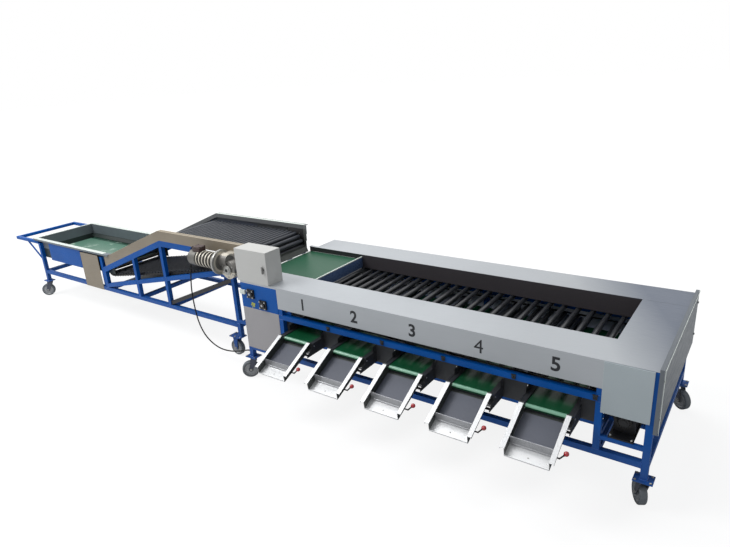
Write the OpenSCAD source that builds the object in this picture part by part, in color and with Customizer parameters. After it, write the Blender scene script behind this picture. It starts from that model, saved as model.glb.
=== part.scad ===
// Fruit grading machine: a roller grader with five outlets, fed by a bin and an inclined roller elevator.
// Millimetres. While the pieces are drawn, X = 0 is the skirt's left end, Y = 0 the skirt's front face
// and Z = 0 the floor; placed() then moves everything to the middle of the whole machine.

/* [Grader] */
// Height of the grader over its covers
grader_height = 900; // [880:5:960]
// Depth of the grader over its front and back skirts
grader_depth = 1284; // [1260:4:1400]
// Distance between two outlets
outlet_pitch = 490; // [470:5:540]
// Length of the bay at the infeed end
infeed_bay = 405; // [385:5:460]
// Length of the bay at the drive end
drive_bay = 283; // [275:2:340]
// Outside size of the square frame tube
tube = 40; // [36:1:44]
// Thickness of the cover sheets
sheet = 2; // [1.5:0.5:3]
// Height of the front skirt
skirt_height = 180; // [160:5:185]
// Height of the lower rail's underside above the floor
low_rail_z = 270; // [230:5:300]
// Height of the rail that carries the outlet conveyors
bed_rail_z = 444; // [430:2:450]
// How far the end plate stands off the frame
end_plate_depth = 22; // [16:1:30]

/* [Roller bed] */
// Number of rollers on the top run
roller_count = 25; // [21:1:25]
// Outside diameter of a grading roller
roller_d = 38; // [34:1:40]
// Distance between the first two rollers
first_pitch = 78.5; // [74:0.5:78.5]
// Growth of the distance from one roller to the next
pitch_growth = 1.29; // [1:0.01:1.3]
// Length of a grading roller
roller_length = 990; // [960:5:1000]
// Height of the first roller's centre below the covers
bed_drop = 145; // [140:1:150]
// Fall of the roller bed from the first to the last roller
bed_fall = 27; // [20:1:34]
// Pitch radius of the chain sprockets
sprocket_r = 52; // [46:1:54]

/* [Outlets] */
// Width of an outlet belt
outlet_belt_w = 257; // [245:1:257]
// Inner width of an outlet chute
chute_w = 260; // [258:1:262]
// Height of an outlet belt's top
outlet_z = 545; // [542:1:548]
// Diameter of the drum that drives an outlet belt
outlet_drum_d = 60; // [50:1:64]
// Diameter of the nose roller under an outlet belt
outlet_nose_d = 28; // [24:1:32]
// Height of a gate plate above its pivot
gate_height = 54; // [44:1:58]
// Diameter of a gate's pivot shaft
gate_shaft_d = 8; // [6:0.5:9]
// Diameter of the ball on a gate lever
ball_d = 24; // [20:1:28]
// Forward angle to which a gate folds
gate_fold = 100; // [80:5:100]

/* [Control box] */
// Width of the control box
box_w = 350; // [320:5:380]
// Height of the control box
box_h = 278; // [260:2:320]
// Depth of the control box with its door
box_d = 170; // [150:5:200]
// Thickness of the door
door_t = 20; // [16:1:24]

/* [Infeed belt] */
// Height of the belt's top below the covers
infeed_drop = 45; // [40:1:50]
// Width of the belt
infeed_belt_w = 690; // [670:5:694]
// Diameter of the drive roller
infeed_drum_d = 56; // [50:1:60]

/* [Feed unit] */
// Width of the feed unit over its tubes
feed_width = 792; // [780:2:800]
// Height of the level part of the elevator guards
guard_z = 1116; // [1106:2:1130]
// Height of a guard's outer face
guard_h = 99; // [90:1:104]
// Height of the bin's rim
bin_z = 738; // [730:2:760]
// Length of the bin over its rim
bin_length = 1593; // [1570:5:1620]
// Diameter of an elevator roller
elevator_roller_d = 36; // [32:1:38]
// Wanted distance between two elevator rollers
elevator_pitch = 50; // [46:1:60]
// Pitch radius of the elevator's head sprockets
head_r = 106; // [100:1:108]
// Diameter of the push handle's tube
handle_d = 32; // [28:1:36]
// How far the handle reaches out from the bin-end post
handle_reach = 541; // [480:5:600]
// Diameter of the geared motor's body
motor_d = 150; // [130:2:160]
// Diameter of the motor's cable
cable_d = 12; // [9:1:14]

/* [Casters] */
// Diameter of a wheel
wheel_d = 150; // [140:2:156]
// Width of a wheel
wheel_w = 45; // [36:1:48]
// Height of a caster from the floor to its mounting face
caster_h = 190; // [186:1:200]
// Distance from the swivel axis to the wheel's axle
trail = 36; // [24:1:40]
// Diameter of the axle
axle_d = 12; // [10:1:16]
// Diameter of the swivel pin
kingpin_d = 16; // [12:1:20]

/* [Hidden] */

// Fits
run_fit = 0.05;
seat = 0.3;
hang_gap = 1.5;

// Colours
c_blue = "royalblue";
c_steel = "gainsboro";
c_zinc = "lightgray";
c_grey = "silver";
c_dark = "dimgray";
c_black = "#222222";
c_beige = "tan";

// Grader frame
outlet_count = 5;
skirt_end = outlet_count * outlet_pitch + 50;
x_left = -infeed_bay;
x_right = skirt_end + drive_bay;
y_front = sheet;
y_back = grader_depth - sheet;
z_top = grader_height - sheet;
foot_t = 8;
foot_z = caster_h;
post_z = foot_z + foot_t;
low_rail_top = low_rail_z + tube;
mid_rail_z = 630;
mid_rail_top = mid_rail_z + tube;
top_rail_z = z_top - tube;
x_post_in = skirt_end - tube + 10;
bed_rail_h = 20;
bed_rail_top = bed_rail_z + bed_rail_h;
motor_bar = 26;
motor_bar_z = 410;
motor_bar_y = 230;
bracket_t = 8;
bracket_z = 345;
bracket_h = 36;

// Covers
well_y0 = 305;
well_x0 = 130;
well_x1 = skirt_end - 3;
well_y1 = 1005;
hem = 12;
panel_top = grader_height - 14;
corner_tray_z = 571;
corner_tray_d = 8;
back_skirt_z = 480;
end_rim = 18;
end_plate_z = 513;

// Roller bed
roller_y0 = 150;
bed_z = grader_height - bed_drop;
function roller_x(k) = 148 + first_pitch * k + pitch_growth * k * (k - 1) / 2;
bed_x0 = roller_x(0);
bed_x1 = roller_x(roller_count - 1);
bed_slope = bed_fall / (bed_x1 - bed_x0);
function bed_z_at(x) = bed_z - bed_slope * (x - bed_x0);
x_tail = 60;
x_head = skirt_end + 60;
z_tail = bed_z_at(x_tail) - sprocket_r;
z_head = bed_z_at(x_head) - sprocket_r;
chain_h = 12;
chain_t = 6;
chain_gap = 24;
chain_y = [roller_y0 - chain_gap - chain_t, roller_y0 + roller_length + chain_gap];
pin_r = 6;
return_pitch = 93;
shaft_d = 30;
bearing_plate_h = 70;
drive_y = 70;
drive_r = 30;
head_drive_r = 44;
motor_drive_r = 34;
main_motor_x = x_right - 163;
main_motor_z = motor_bar_z + 82;

// Infeed belt
infeed_top = grader_height - infeed_drop;
infeed_belt_t = 3;
infeed_y0 = well_y0 + 11;
infeed_x0 = x_left - 70;
infeed_x1 = 88;
nose_r = 12;
end_r = 27;
infeed_drum_x = -291;
infeed_drum_z = infeed_top - 55;
side_plate_t = 6;
infeed_plate_x0 = x_left - 90;
infeed_plate_z = grader_height - 120;
infeed_y1 = well_y1 + 6;
jack_x = -161;
jack_z = infeed_drum_z - 76;
jack_d = 20;

// Outlets
first_outlet = 258;
function outlet_x(i) = first_outlet + outlet_pitch * i;
belt_t = 2;
plate_t = 4;
bed_half = 163;
bed_plate_z = bed_rail_top;
bed_plate_top = outlet_z + 8;
nose_y = -84;
drum_y = grader_depth - 134;
drum_r = outlet_drum_d / 2;
outlet_nose_r = outlet_nose_d / 2;
nose_z = outlet_z - belt_t - seat - outlet_nose_r;
drum_z = outlet_z - belt_t - seat - drum_r;
drum_shaft_d = 25;
nose_shaft_d = 12;
chute_y0 = -115;
chute_y1 = -410;
chute_z0 = outlet_z + 24;
chute_z1 = outlet_z - 121;
flange_w = 30;
floor_y0 = -92;
floor_y1 = -402;
floor_slope = 0.424;
floor_under = sheet * sqrt(1 + floor_slope * floor_slope);
floor_z0 = outlet_z - 44;
function floor_z(y) = floor_z0 + floor_slope * (y - floor_y0);
mat_t = 4;
gate_y = -324;
gate_z = outlet_z - 135;
gate_lean = 10;
lever_x = 165;
lever_d = 8;
ball_at = [193, -311, gate_z + 34];

// Control box
box_x = -428;
box_t = 2;
hinge_r = 4.5;
hinge_x = box_x - 5;
hinge_pin_d = 6;
hinge_z = [60, box_h - 60];
latch_x = box_x + box_w - 38;
latch_z = grader_height + 135;

// Feed unit
feed_y0 = 225;
feed_y1 = feed_y0 + feed_width;
feed_in0 = feed_y0 + tube;
feed_in1 = feed_y1 - tube;
feed_rail_z = 295;
feed_rail_top = feed_rail_z + tube;
feed_x = [-4239, -2880, -2286, -1782, -783];
bin_end_x = -4311;
bin_x1 = bin_end_x + bin_length;
peak_x = -1755;
guard_x0 = -2808;
guard_x1 = -522;
guard_slope = tan(21.75);
function guard_top(x) = guard_z - guard_slope * max(0, peak_x - x);
beam_h = 60;
beam_x1 = -1200;
beam_top = guard_z - guard_h;
bar_slope = 0.231;
function bar_z(x) = 340 + bar_slope * (x + 2840);
bar_h = 44;
bar_x0 = -2840;
bar_x1 = -900;
bin_wall_z = 500;
bin_rim_w = 52;
bin_belt_z = 570;
bin_belt_r = 30;
bin_belt_x = [-4210, -2940];
bin_belt_w = 660;
bin_belt_t = 3;
bin_shaft_d = 25;
run_drop = 85;
run_z = guard_z - run_drop;
head_x = -640;
head_z = run_z - head_r;
tail_r = 70;
tail_x = -2782;
tail_z = run_z - guard_slope * (peak_x - tail_x) - tail_r / cos(21.75);
shoe = [-940, 808];
elevator_roller_l = 662;
elevator_y0 = feed_y0 + 65;
elevator_chain_y = [elevator_y0 - 18, elevator_y0 + elevator_roller_l + 12];
gearbox_y0 = 80;
motor_y = 112;
motor_z = 978;
motor_x = [-1107, -752];
motor_flange_d = 220;
handle_z = 690;
handle_bend = 60;

// Casters: each place with the direction that the wheel trails in at rest
post_half = tube / 2;
grader_casters = [
    [x_left + post_half, y_front + post_half, 225],
    [x_right - post_half, y_front + post_half, 120],
    [x_left + post_half, y_back - post_half, 60],
    [x_right - post_half, y_back - post_half, 318]
];
feed_casters = [
    [feed_x[0] + post_half, feed_y0 + post_half, 225],
    [feed_x[0] + post_half, feed_y1 - post_half, 135]
];
fixed_x = feed_x[4] - 50;
fork_t = 4;
kingpin_depth = 26;

// Route of the motor's cable
cable_route = [
    [-1078, 112, 1066], [-1102, 112, 1066], [-1126, 112, 1048], [-1138, 112, 1005], [-1150, 112, 945],
    [-1178, 112, 840], [-1202, 112, 734], [-1217, 112, 611], [-1212, 112, 450], [-1187, 112, 309],
    [-1127, 112, 197], [-1029, 112, 125], [-910, 110, 95], [-765, 100, 110], [-610, 75, 160],
    [-500, 45, 208], [-455, 24, 230], [-430, 22, 236], [-413, 22, 236]
];

// How far a caster's wheel reaches along X or Y at rest
tyre_round = 9;
function wheel_reach(u, v) =
    trail * u + (wheel_d / 2 - tyre_round) * abs(u) + (wheel_w / 2 - tyre_round) * abs(v) + tyre_round;
function reach_x(c) = c[0] + wheel_reach(cos(c[2]), sin(c[2]));
function reach_y(c) = c[1] + wheel_reach(sin(c[2]), cos(c[2]));

// The whole machine's middle, taken from its outermost pieces
x_max = max(x_right + end_plate_depth + 5, reach_x(grader_casters[1]), reach_x(grader_casters[3]));
y_max = max(y_back + end_rim, reach_y(grader_casters[2]), reach_y(grader_casters[3]));
mid_x = (feed_x[0] - handle_reach + x_max) / 2;
mid_y = (chute_y1 + y_max) / 2;

module placed() {
    translate([-mid_x, -mid_y, 0]) children();
}

// A block between its lowest and highest corners
module block(low, high) {
    translate(low) cube(high - low);
}

// Round bars along each axis
module rod_x(x0, x1, y, z, r) {
    translate([x0, y, z]) rotate([0, 90, 0]) cylinder(h = x1 - x0, r = r, $fn = 48);
}

module rod_y(x, y0, y1, z, r) {
    translate([x, y0, z]) rotate([-90, 0, 0]) cylinder(h = y1 - y0, r = r, $fn = 48);
}

module rod_z(x, y, z0, z1, r) {
    translate([x, y, z0]) cylinder(h = z1 - z0, r = r, $fn = 48);
}

// A round bar between any two points
module rod_between(a, b, r) {
    d = b - a;
    translate(a) rotate([0, acos(d[2] / norm(d)), atan2(d[1], d[0])]) cylinder(h = norm(d), r = r, $fn = 32);
}

// Outline of a strip of upright height h from a to b
function slab(a, b, h) = [a, b, b + [0, h], a + [0, h]];

// An outline in X and Z, drawn out along Y
module prism_y(outline, y0, y1) {
    translate([0, y1, 0]) rotate([90, 0, 0]) linear_extrude(y1 - y0) polygon(outline);
}

// An outline in Y and Z, drawn out along X
module prism_x(outline, x0, x1) {
    translate([x0, 0, 0]) rotate([90, 0, 90]) linear_extrude(x1 - x0) polygon(outline);
}

// Outline of a folded strip of thickness t, lying to the left of its path
function unit(v) = v / norm(v);
function left_of(v) = [-v[1], v[0]];
function fold_side(p, i) =
    i == 0 ? left_of(unit(p[1] - p[0])) :
    i == len(p) - 1 ? left_of(unit(p[i] - p[i - 1])) :
    let (a = left_of(unit(p[i] - p[i - 1])), b = left_of(unit(p[i + 1] - p[i])))
    (a + b) / (1 + a * b);
function folded(p, t) = concat(p, [for (i = [len(p) - 1 : -1 : 0]) p[i] + t * fold_side(p, i)]);

// Outline of an open belt round wheels, given as [x, z, radius] and taken anticlockwise
function belt_dir(a, b) =
    let (d = [b[0] - a[0], b[1] - a[1]])
    atan2(d[1], d[0]) - 90 + asin((a[2] - b[2]) / norm(d));
function swept(from, to) = to < from ? swept(from, to + 360) : (to >= from + 360 ? to - 360 : to);
function belt_arc(w, from, to, step) =
    let (n = max(1, ceil((to - from) / step)))
    [for (i = [0 : n]) [w[0], w[1]] + w[2] * [cos(from + (to - from) * i / n), sin(from + (to - from) * i / n)]];
function belt_outline(w, grow = 0, step = 12) = [
    for (i = [0 : len(w) - 1])
        let (
            g = [for (v = w) [v[0], v[1], v[2] + grow]],
            before = g[(i + len(w) - 1) % len(w)],
            after = g[(i + 1) % len(w)],
            from = belt_dir(before, g[i]),
            to = belt_dir(g[i], after)
        )
        each belt_arc(g[i], from, swept(from, to), step)
];

// A belt of thickness t round wheels in the XZ plane
module belt_y(wheels, t, y0, y1) {
    translate([0, y1, 0]) rotate([90, 0, 0]) linear_extrude(y1 - y0) difference() {
        polygon(belt_outline(wheels, t));
        polygon(belt_outline(wheels));
    }
}

// A closed path moved out by t
function path_offset(p, t) = [
    for (i = [0 : len(p) - 1])
        let (
            a = left_of(unit(p[i] - p[(i + len(p) - 1) % len(p)])),
            b = left_of(unit(p[(i + 1) % len(p)] - p[i]))
        )
        p[i] + t * (a + b) / (1 + a * b)
];

// Places along a closed path of points at a given distance from its start
function path_sums(p) = [
    for (i = 0, s = 0; i <= len(p); s = s + norm(p[(i + 1) % len(p)] - p[i % len(p)]), i = i + 1) s
];
function path_at(p, sums, s) = [
    lookup(s, [for (i = [0 : len(p)]) [sums[i], p[i % len(p)][0]]]),
    lookup(s, [for (i = [0 : len(p)]) [sums[i], p[i % len(p)][1]]])
];

// Sprocket outline with its teeth's tips at radius r
module sprocket(r, teeth, bore) {
    difference() {
        circle(r = r - 8, $fn = 64);
        circle(r = bore, $fn = 48);
    }
    for (i = [0 : teeth - 1]) {
        rotate(i * 360 / teeth) polygon([[r - 12, -7], [r - 0.2, -2.5], [r - 0.2, 2.5], [r - 12, 7]]);
    }
}

// A sprocket of the given thickness whose near face is at y
module sprocket_y(x, y, z, r, teeth, bore, t) {
    translate([x, y + t, z]) rotate([90, 0, 0]) linear_extrude(t) sprocket(r, teeth, bore);
}

// Casters

function arc(c, r, a0, a1, n) = [
    for (i = [0 : n]) c + r * [cos(a0 + (a1 - a0) * i / n), sin(a0 + (a1 - a0) * i / n)]
];

module fork_leg(top, at) {
    outline = concat([[-26, top], [-26, top - 16]], arc([at, wheel_d / 2], 17, 190, 350, 8), [[30, top - 16], [30, top]]);
    prism_y(outline, 0, fork_t);
}

// A fork with its crown, two legs and the axle, its swivel axis on Z
module fork(at, top) {
    half = wheel_w / 2 + hang_gap;
    block([-26, -half - fork_t, top - fork_t], [30, half + fork_t, top]);
    for (y = [-half - fork_t, half]) {
        translate([0, y, 0]) fork_leg(top, at);
    }
    rod_y(at, -half - fork_t - 5, half + fork_t + 5, wheel_d / 2, axle_d / 2);
}

module swivel_fork(place) {
    color(c_dark) placed() translate([place[0], place[1], 0]) rotate(place[2]) {
        fork(trail, foot_z - 8);
        rod_z(0, 0, foot_z - 8, foot_z - seat, 23);
        rod_z(0, 0, foot_z - seat, foot_z + kingpin_depth - 2, kingpin_d / 2);
    }
}

// A wheel with a rounded tyre, a thinner web and a hub, its axle along Y
module wheel(at, turn, reach) {
    r = wheel_d / 2;
    h = wheel_w / 2;
    color(c_dark) placed() translate([at[0], at[1], 0]) rotate(turn) translate([reach, 0, r]) rotate([90, 0, 0])
        rotate_extrude($fn = 72) polygon(concat(
            [[axle_d / 2 + run_fit, -h], [20, -h], [22, -h + 9], [r - 22, -h + 9], [r - 18, -h + 2]],
            arc([r - tyre_round, -h + tyre_round], tyre_round, 270, 360, 4),
            arc([r - tyre_round, h - tyre_round], tyre_round, 0, 90, 4),
            [[r - 18, h - 2], [r - 22, h - 9], [22, h - 9], [20, h], [axle_d / 2 + run_fit, h]]
        ));
}

module grader_fork(i) {
    swivel_fork(grader_casters[i]);
}

module grader_wheel(i) {
    wheel(grader_casters[i], grader_casters[i][2], trail);
}

module kingpin_hole(place) {
    translate([place[0], place[1], foot_z - 1]) cylinder(h = kingpin_depth + 1, r = kingpin_d / 2 + run_fit, $fn = 48);
}

// Grader frame

module foot(place) {
    block([place[0] - 55, place[1] - 45, foot_z], [place[0] + 55, place[1] + 45, post_z]);
}

// One side of the grader: posts, rails, feet and the plates that hold the chain shafts
module grader_side(y, posts, plate_y) {
    for (x = posts) {
        block([x, y, low_rail_top], [x + tube, y + tube, z_top]);
    }
    for (x = [x_left, x_right - tube]) {
        block([x, y, post_z], [x + tube, y + tube, z_top]);
    }
    block([x_left, y, low_rail_z], [x_right, y + tube, low_rail_top]);
    block([0, y, mid_rail_z], [x_post_in + tube, y + tube, mid_rail_top]);
    block([x_left, y, top_rail_z], [x_right, y + tube, z_top]);
    plate = [plate_y, plate_y + 12];
    difference() {
        block([tube, plate[0], mid_rail_top], [x_tail + 45, plate[1], top_rail_z]);
        rod_y(x_tail, plate[0] - 1, plate[1] + 1, z_tail, shaft_d / 2 + run_fit);
    }
    difference() {
        block([x_post_in + tube, plate[0], z_head - bearing_plate_h], [x_right - tube, plate[1], z_head + 60]);
        rod_y(x_head, plate[0] - 1, plate[1] + 1, z_head, shaft_d / 2 + run_fit);
    }
}

module grader_frame_front() {
    color(c_blue) placed() difference() {
        union() {
            grader_side(y_front, [0, x_post_in], y_front + tube - 12);
            for (i = [0, 1]) {
                foot(grader_casters[i]);
            }
            block([0, y_front + tube, bed_rail_z], [x_post_in + tube, y_front + 2 * tube, bed_rail_top]);
            for (x = [x_post_in + tube - 28, x_right - tube]) {
                block([x, y_front + tube, motor_bar_z - motor_bar], [x + 26, motor_bar_y + motor_bar, motor_bar_z]);
            }
            for (y = [y_front, motor_bar_y]) {
                block([x_post_in, y, motor_bar_z - motor_bar], [x_right, y + motor_bar, motor_bar_z]);
            }
            difference() {
                block([x_left, 0, mid_rail_top], [-2, sheet, panel_top]);
                rod_y(infeed_drum_x, -1, sheet + 1, infeed_drum_z, jack_d / 2 + 1);
                rod_y(jack_x, -1, sheet + 1, jack_z, jack_d / 2 + 1);
            }
            for (x = [x_left, 0]) {
                block([x, y_front + tube, top_rail_z], [x + tube, well_y0, z_top]);
            }
        }
        for (i = [0, 1]) {
            kingpin_hole(grader_casters[i]);
        }
    }
}

module grader_frame_back() {
    y0 = y_back - tube;
    color(c_blue) placed() difference() {
        union() {
            grader_side(y0, [0, outlet_x(2) - tube / 2, x_post_in], y0);
            for (i = [2, 3]) {
                foot(grader_casters[i]);
            }
            block([0, y0 - tube, bed_rail_z], [x_post_in + tube, y0, bed_rail_top]);
            for (x = [x_left, 0, x_post_in, x_right - tube]) {
                block([x, y_front + tube, low_rail_z], [x + tube, y0, low_rail_top]);
            }
            block([x_right - tube, y_front + tube, top_rail_z], [x_right, y0, z_top]);
            for (x = [x_left, 0]) {
                block([x, well_y1 + 12, top_rail_z], [x + tube, y0, z_top]);
            }
            for (y = [feed_y0, feed_y1 - bracket_t]) {
                block([feed_x[4] + tube, y, bracket_z], [x_left + tube, y + bracket_t, bracket_z + bracket_h]);
                block([x_left + bracket_t, y, low_rail_top], [x_left + tube, y + bracket_t, bracket_z]);
            }
        }
        for (i = [2, 3]) {
            kingpin_hole(grader_casters[i]);
        }
    }
}

// Covers and panels

module front_cover() {
    color(c_steel) placed() {
        block([x_left, 0, z_top], [x_right, well_y0, grader_height]);
        block([well_x1, well_y0, z_top], [x_right, well_y1, grader_height]);
        block([0, 0, grader_height - skirt_height], [skirt_end, sheet, z_top]);
        block([tube + 2, sheet, grader_height - skirt_height], [x_post_in - 2, sheet + hem, grader_height - skirt_height + sheet]);
        block([x_left, 0, panel_top], [0, sheet, z_top]);
    }
}

module back_cover() {
    color(c_steel) placed() {
        block([x_left, well_y1, z_top], [x_right, grader_depth, grader_height]);
        block([0, y_back, back_skirt_z], [skirt_end, grader_depth, z_top]);
        block([infeed_plate_x0, well_y1, z_top], [x_left, well_y1 + 30, grader_height]);
    }
}

// A shallow tray that closes a corner bay, its open side on the tubes
module corner_tray(y_tube, y_face) {
    x = [skirt_end + 2, x_right - 20];
    low = min(y_tube, y_face);
    high = max(y_tube, y_face);
    shift = y_face < y_tube ? sheet : -sheet;
    difference() {
        block([x[0], low, corner_tray_z], [x[1], high, z_top - 1]);
        translate([0, shift, 0])
            block([x[0] + sheet, low, corner_tray_z + sheet], [x[1] - sheet, high, z_top - 1 - sheet]);
    }
}

module side_panels() {
    x1 = -2;
    color(c_grey) placed() {
        block([x_left + 2, 0, low_rail_top - 16], [x1, sheet, mid_rail_top]);
        block([x_left + 2, y_back, low_rail_top - 16], [x1, grader_depth, z_top - 1]);
        corner_tray(y_front, -corner_tray_d);
        corner_tray(y_back, grader_depth + corner_tray_d);
    }
}

module end_plate() {
    y0 = -sheet;
    y1 = grader_depth + 16;
    z1 = grader_height + end_rim;
    x1 = x_right + end_plate_depth;
    color(c_steel) placed() {
        difference() {
            block([x_right, y0, end_plate_z], [x1, y1, z1]);
            block([x_right - 1, y0 + sheet, end_plate_z + sheet], [x1 - sheet, y1 - sheet, z1 - sheet]);
        }
        for (y = [y_front + post_half, y_back - post_half], z = [600, 840]) {
            rod_x(x_right, x1 - sheet, y, z, 9);
            rod_x(x1, x1 + 5, y, z, 7);
        }
    }
}

module well_liner() {
    low0 = bed_z + roller_d / 2 + 3;
    low1 = bed_z - bed_fall + roller_d / 2 + 3;
    wall = [[well_x0, low0], [well_x1 + sheet, low1], [well_x1 + sheet, z_top], [well_x0, z_top]];
    color(c_dark) placed() {
        prism_y(wall, well_y0 - sheet, well_y0);
        prism_y(wall, well_y1, well_y1 + sheet);
        block([well_x1, well_y0 - sheet, low1], [well_x1 + sheet, well_y1 + sheet, z_top]);
    }
}

// Infeed belt

infeed_wheels = [
    [infeed_x0, infeed_top - infeed_belt_t - nose_r, nose_r],
    [infeed_drum_x, infeed_drum_z, infeed_drum_d / 2 + seat],
    [infeed_x1, infeed_top - infeed_belt_t - end_r, end_r]
];

module infeed_frame() {
    y0 = well_y0;
    y1 = infeed_y1 + side_plate_t;
    nose = infeed_wheels[0];
    end = infeed_wheels[2];
    color(c_steel) placed() {
        difference() {
            union() {
                block([infeed_plate_x0, y0, infeed_plate_z], [well_x0, y0 + side_plate_t, z_top]);
                block([infeed_plate_x0, infeed_y1, infeed_plate_z], [well_x0, y1, z_top]);
                rod_y(nose[0], y0, y1, nose[1], nose_r - seat);
                rod_y(end[0], y0, y1, end[1], end_r - seat);
                block([infeed_x0 + 20, y0, infeed_top - 8], [infeed_x1 - 32, y1, infeed_top - infeed_belt_t - seat]);
            }
            rod_y(infeed_drum_x, y0 - 1, y1 + 1, infeed_drum_z, jack_d / 2 + run_fit);
        }
        block([well_x0 - 6, y0, infeed_plate_z - 11], [well_x0, y1, infeed_plate_z]);
        block([well_x0 - 6, y0 + side_plate_t, infeed_plate_z], [well_x0, infeed_y1, infeed_top + 25]);
    }
}

module infeed_belt() {
    color("seagreen") placed() belt_y(infeed_wheels, infeed_belt_t, infeed_y0, infeed_y0 + infeed_belt_w);
}

module infeed_drive_roller() {
    color(c_zinc) placed() {
        rod_y(infeed_drum_x, infeed_y0 - 3, infeed_y0 + infeed_belt_w + 3, infeed_drum_z, infeed_drum_d / 2);
        rod_y(infeed_drum_x, -24, infeed_y1 + side_plate_t + 6, infeed_drum_z, jack_d / 2);
        sprocket_y(infeed_drum_x, drive_y + 20, infeed_drum_z, drive_r, 13, jack_d / 2 - 1, chain_t);
    }
}

// Short shaft that passes the drive from the roller bed to the infeed belt
module jackshaft() {
    color(c_zinc) placed() {
        rod_y(jack_x, -24, drive_y + 40, jack_z, jack_d / 2);
        for (y = [drive_y, drive_y + 20]) {
            sprocket_y(jack_x, y, jack_z, drive_r, 13, jack_d / 2 - 1, chain_t);
        }
    }
}

// A flange bearing: four-cornered foot, round boss and bolts round a bore
module flange_bearing(x, z) {
    difference() {
        union() {
            block([x - 38, -10, z - 38], [x + 38, 0, z + 38]);
            rod_y(x, -22, -10, z, 26);
        }
        rod_y(x, -25, 1, z, jack_d / 2 + run_fit);
    }
    for (u = [-28, 28], v = [-28, 28]) {
        rod_y(x + u, -16, -10, z + v, 6);
    }
}

module flange_bearings() {
    color(c_black) placed() {
        flange_bearing(infeed_drum_x, infeed_drum_z);
        flange_bearing(jack_x, jack_z);
    }
}

// Outlets

module outlet_bed(i) {
    x = outlet_x(i);
    y1 = grader_depth - 44;
    side = [
        [-170, bed_plate_z], [y1, bed_plate_z], [y1, bed_plate_top], [-100, bed_plate_top],
        [-112, bed_plate_z + 50], [-170, bed_plate_z + 16]
    ];
    slider_top = outlet_z - belt_t - seat;
    difference() {
        union() {
            prism_x(side, x - bed_half - plate_t, x - bed_half);
            prism_x(side, x + bed_half, x + bed_half + plate_t);
            for (u = [-bed_half, bed_half - 32]) {
                block([x + u, -98, bed_plate_top - 5], [x + u + 32, y1, bed_plate_top - 2]);
            }
            block([x - bed_half, nose_y + 26, slider_top - 3], [x + bed_half, drum_y - 42, slider_top]);
            block([x - bed_half, -150, bed_plate_z], [x + bed_half, -125, bed_plate_z + 3]);
        }
        rod_x(x - bed_half - 5, x + bed_half + 5, nose_y, nose_z, nose_shaft_d / 2 + run_fit);
        rod_x(x - bed_half - 5, x + bed_half + 5, drum_y, drum_z, drum_shaft_d / 2 + run_fit);
    }
}

// The plates that close the front between two outlets
module outlet_closings() {
    half = bed_half + plate_t + seat;
    edges = concat([tube], [for (i = [0 : outlet_count - 1]) each [outlet_x(i) - half, outlet_x(i) + half]], [x_post_in]);
    for (i = [0 : outlet_count]) {
        block([edges[2 * i], y_front + tube, bed_rail_top], [edges[2 * i + 1], y_front + tube + 3, mid_rail_z]);
    }
}

module outlet_beds() {
    color(c_dark) placed() {
        for (i = [0 : outlet_count - 1]) {
            outlet_bed(i);
        }
        outlet_closings();
    }
}

module outlet_belts() {
    wheels = [[nose_y, nose_z, outlet_nose_r + seat], [drum_y, drum_z, drum_r + seat]];
    color("darkgreen") placed() for (i = [0 : outlet_count - 1]) {
        translate([outlet_x(i) - outlet_belt_w / 2, 0, 0]) rotate([90, 0, 90]) linear_extrude(outlet_belt_w)
            difference() {
                polygon(belt_outline(wheels, belt_t));
                polygon(belt_outline(wheels));
            }
    }
}

module outlet_nose_rollers() {
    color(c_zinc) placed() for (i = [0 : outlet_count - 1]) {
        x = outlet_x(i);
        rod_x(x - outlet_belt_w / 2 - 4, x + outlet_belt_w / 2 + 4, nose_y, nose_z, outlet_nose_r);
        rod_x(x - bed_half - plate_t - 3, x + bed_half + plate_t + 3, nose_y, nose_z, nose_shaft_d / 2);
    }
}

module outlet_drive_shaft() {
    color(c_zinc) placed() {
        rod_x(60, outlet_x(outlet_count - 1) + 220, drum_y, drum_z, drum_shaft_d / 2);
        for (i = [0 : outlet_count - 1]) {
            x = outlet_x(i);
            rod_x(x - outlet_belt_w / 2 - 4, x + outlet_belt_w / 2 + 4, drum_y, drum_z, drum_r);
        }
    }
}

// A sloping chute with open top and front: rails, walls, floor and brackets to the conveyor
module chute(x) {
    half = chute_w / 2;
    wall = [
        [chute_y1, chute_z1], [floor_y1, floor_z(floor_y1) - floor_under], [floor_y0, floor_z0 - floor_under],
        [floor_y0, floor_z0 + 4], [chute_y0, chute_z0]
    ];
    rail = slab([chute_y1, chute_z1 - sheet], [chute_y0, chute_z0 - sheet], sheet);
    lip = slab([chute_y1, chute_z1 - 10], [chute_y0, chute_z0 - 10], 10);
    floor_strip = folded([
        [floor_y1 - 4, floor_z(floor_y1) + 8], [floor_y1, floor_z(floor_y1) - floor_under],
        [floor_y0, floor_z0 - floor_under]
    ], sheet);
    for (side = [-1, 1]) {
        difference() {
            union() {
                prism_x(wall, x + side * half - (side < 0 ? sheet : 0), x + side * half + (side > 0 ? sheet : 0));
                prism_x(rail, x + (side < 0 ? -half - 28 : half - 2), x + (side < 0 ? -half + 2 : half + 28));
                prism_x(lip, x + (side < 0 ? -half - 28 : half + 26), x + (side < 0 ? -half - 26 : half + 28));
            }
            rod_x(x - bed_half, x + bed_half, gate_y, gate_z, gate_shaft_d / 2 + 0.1);
        }
        block(
            [x + (side < 0 ? -bed_half : half), -145, bed_plate_z + 22],
            [x + (side < 0 ? -half : bed_half), -125, bed_plate_z + 25]
        );
    }
    prism_x(floor_strip, x - half, x + half);
}

module outlet_chutes() {
    color(c_steel) placed() for (i = [0 : outlet_count - 1]) {
        chute(outlet_x(i));
    }
}

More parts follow.
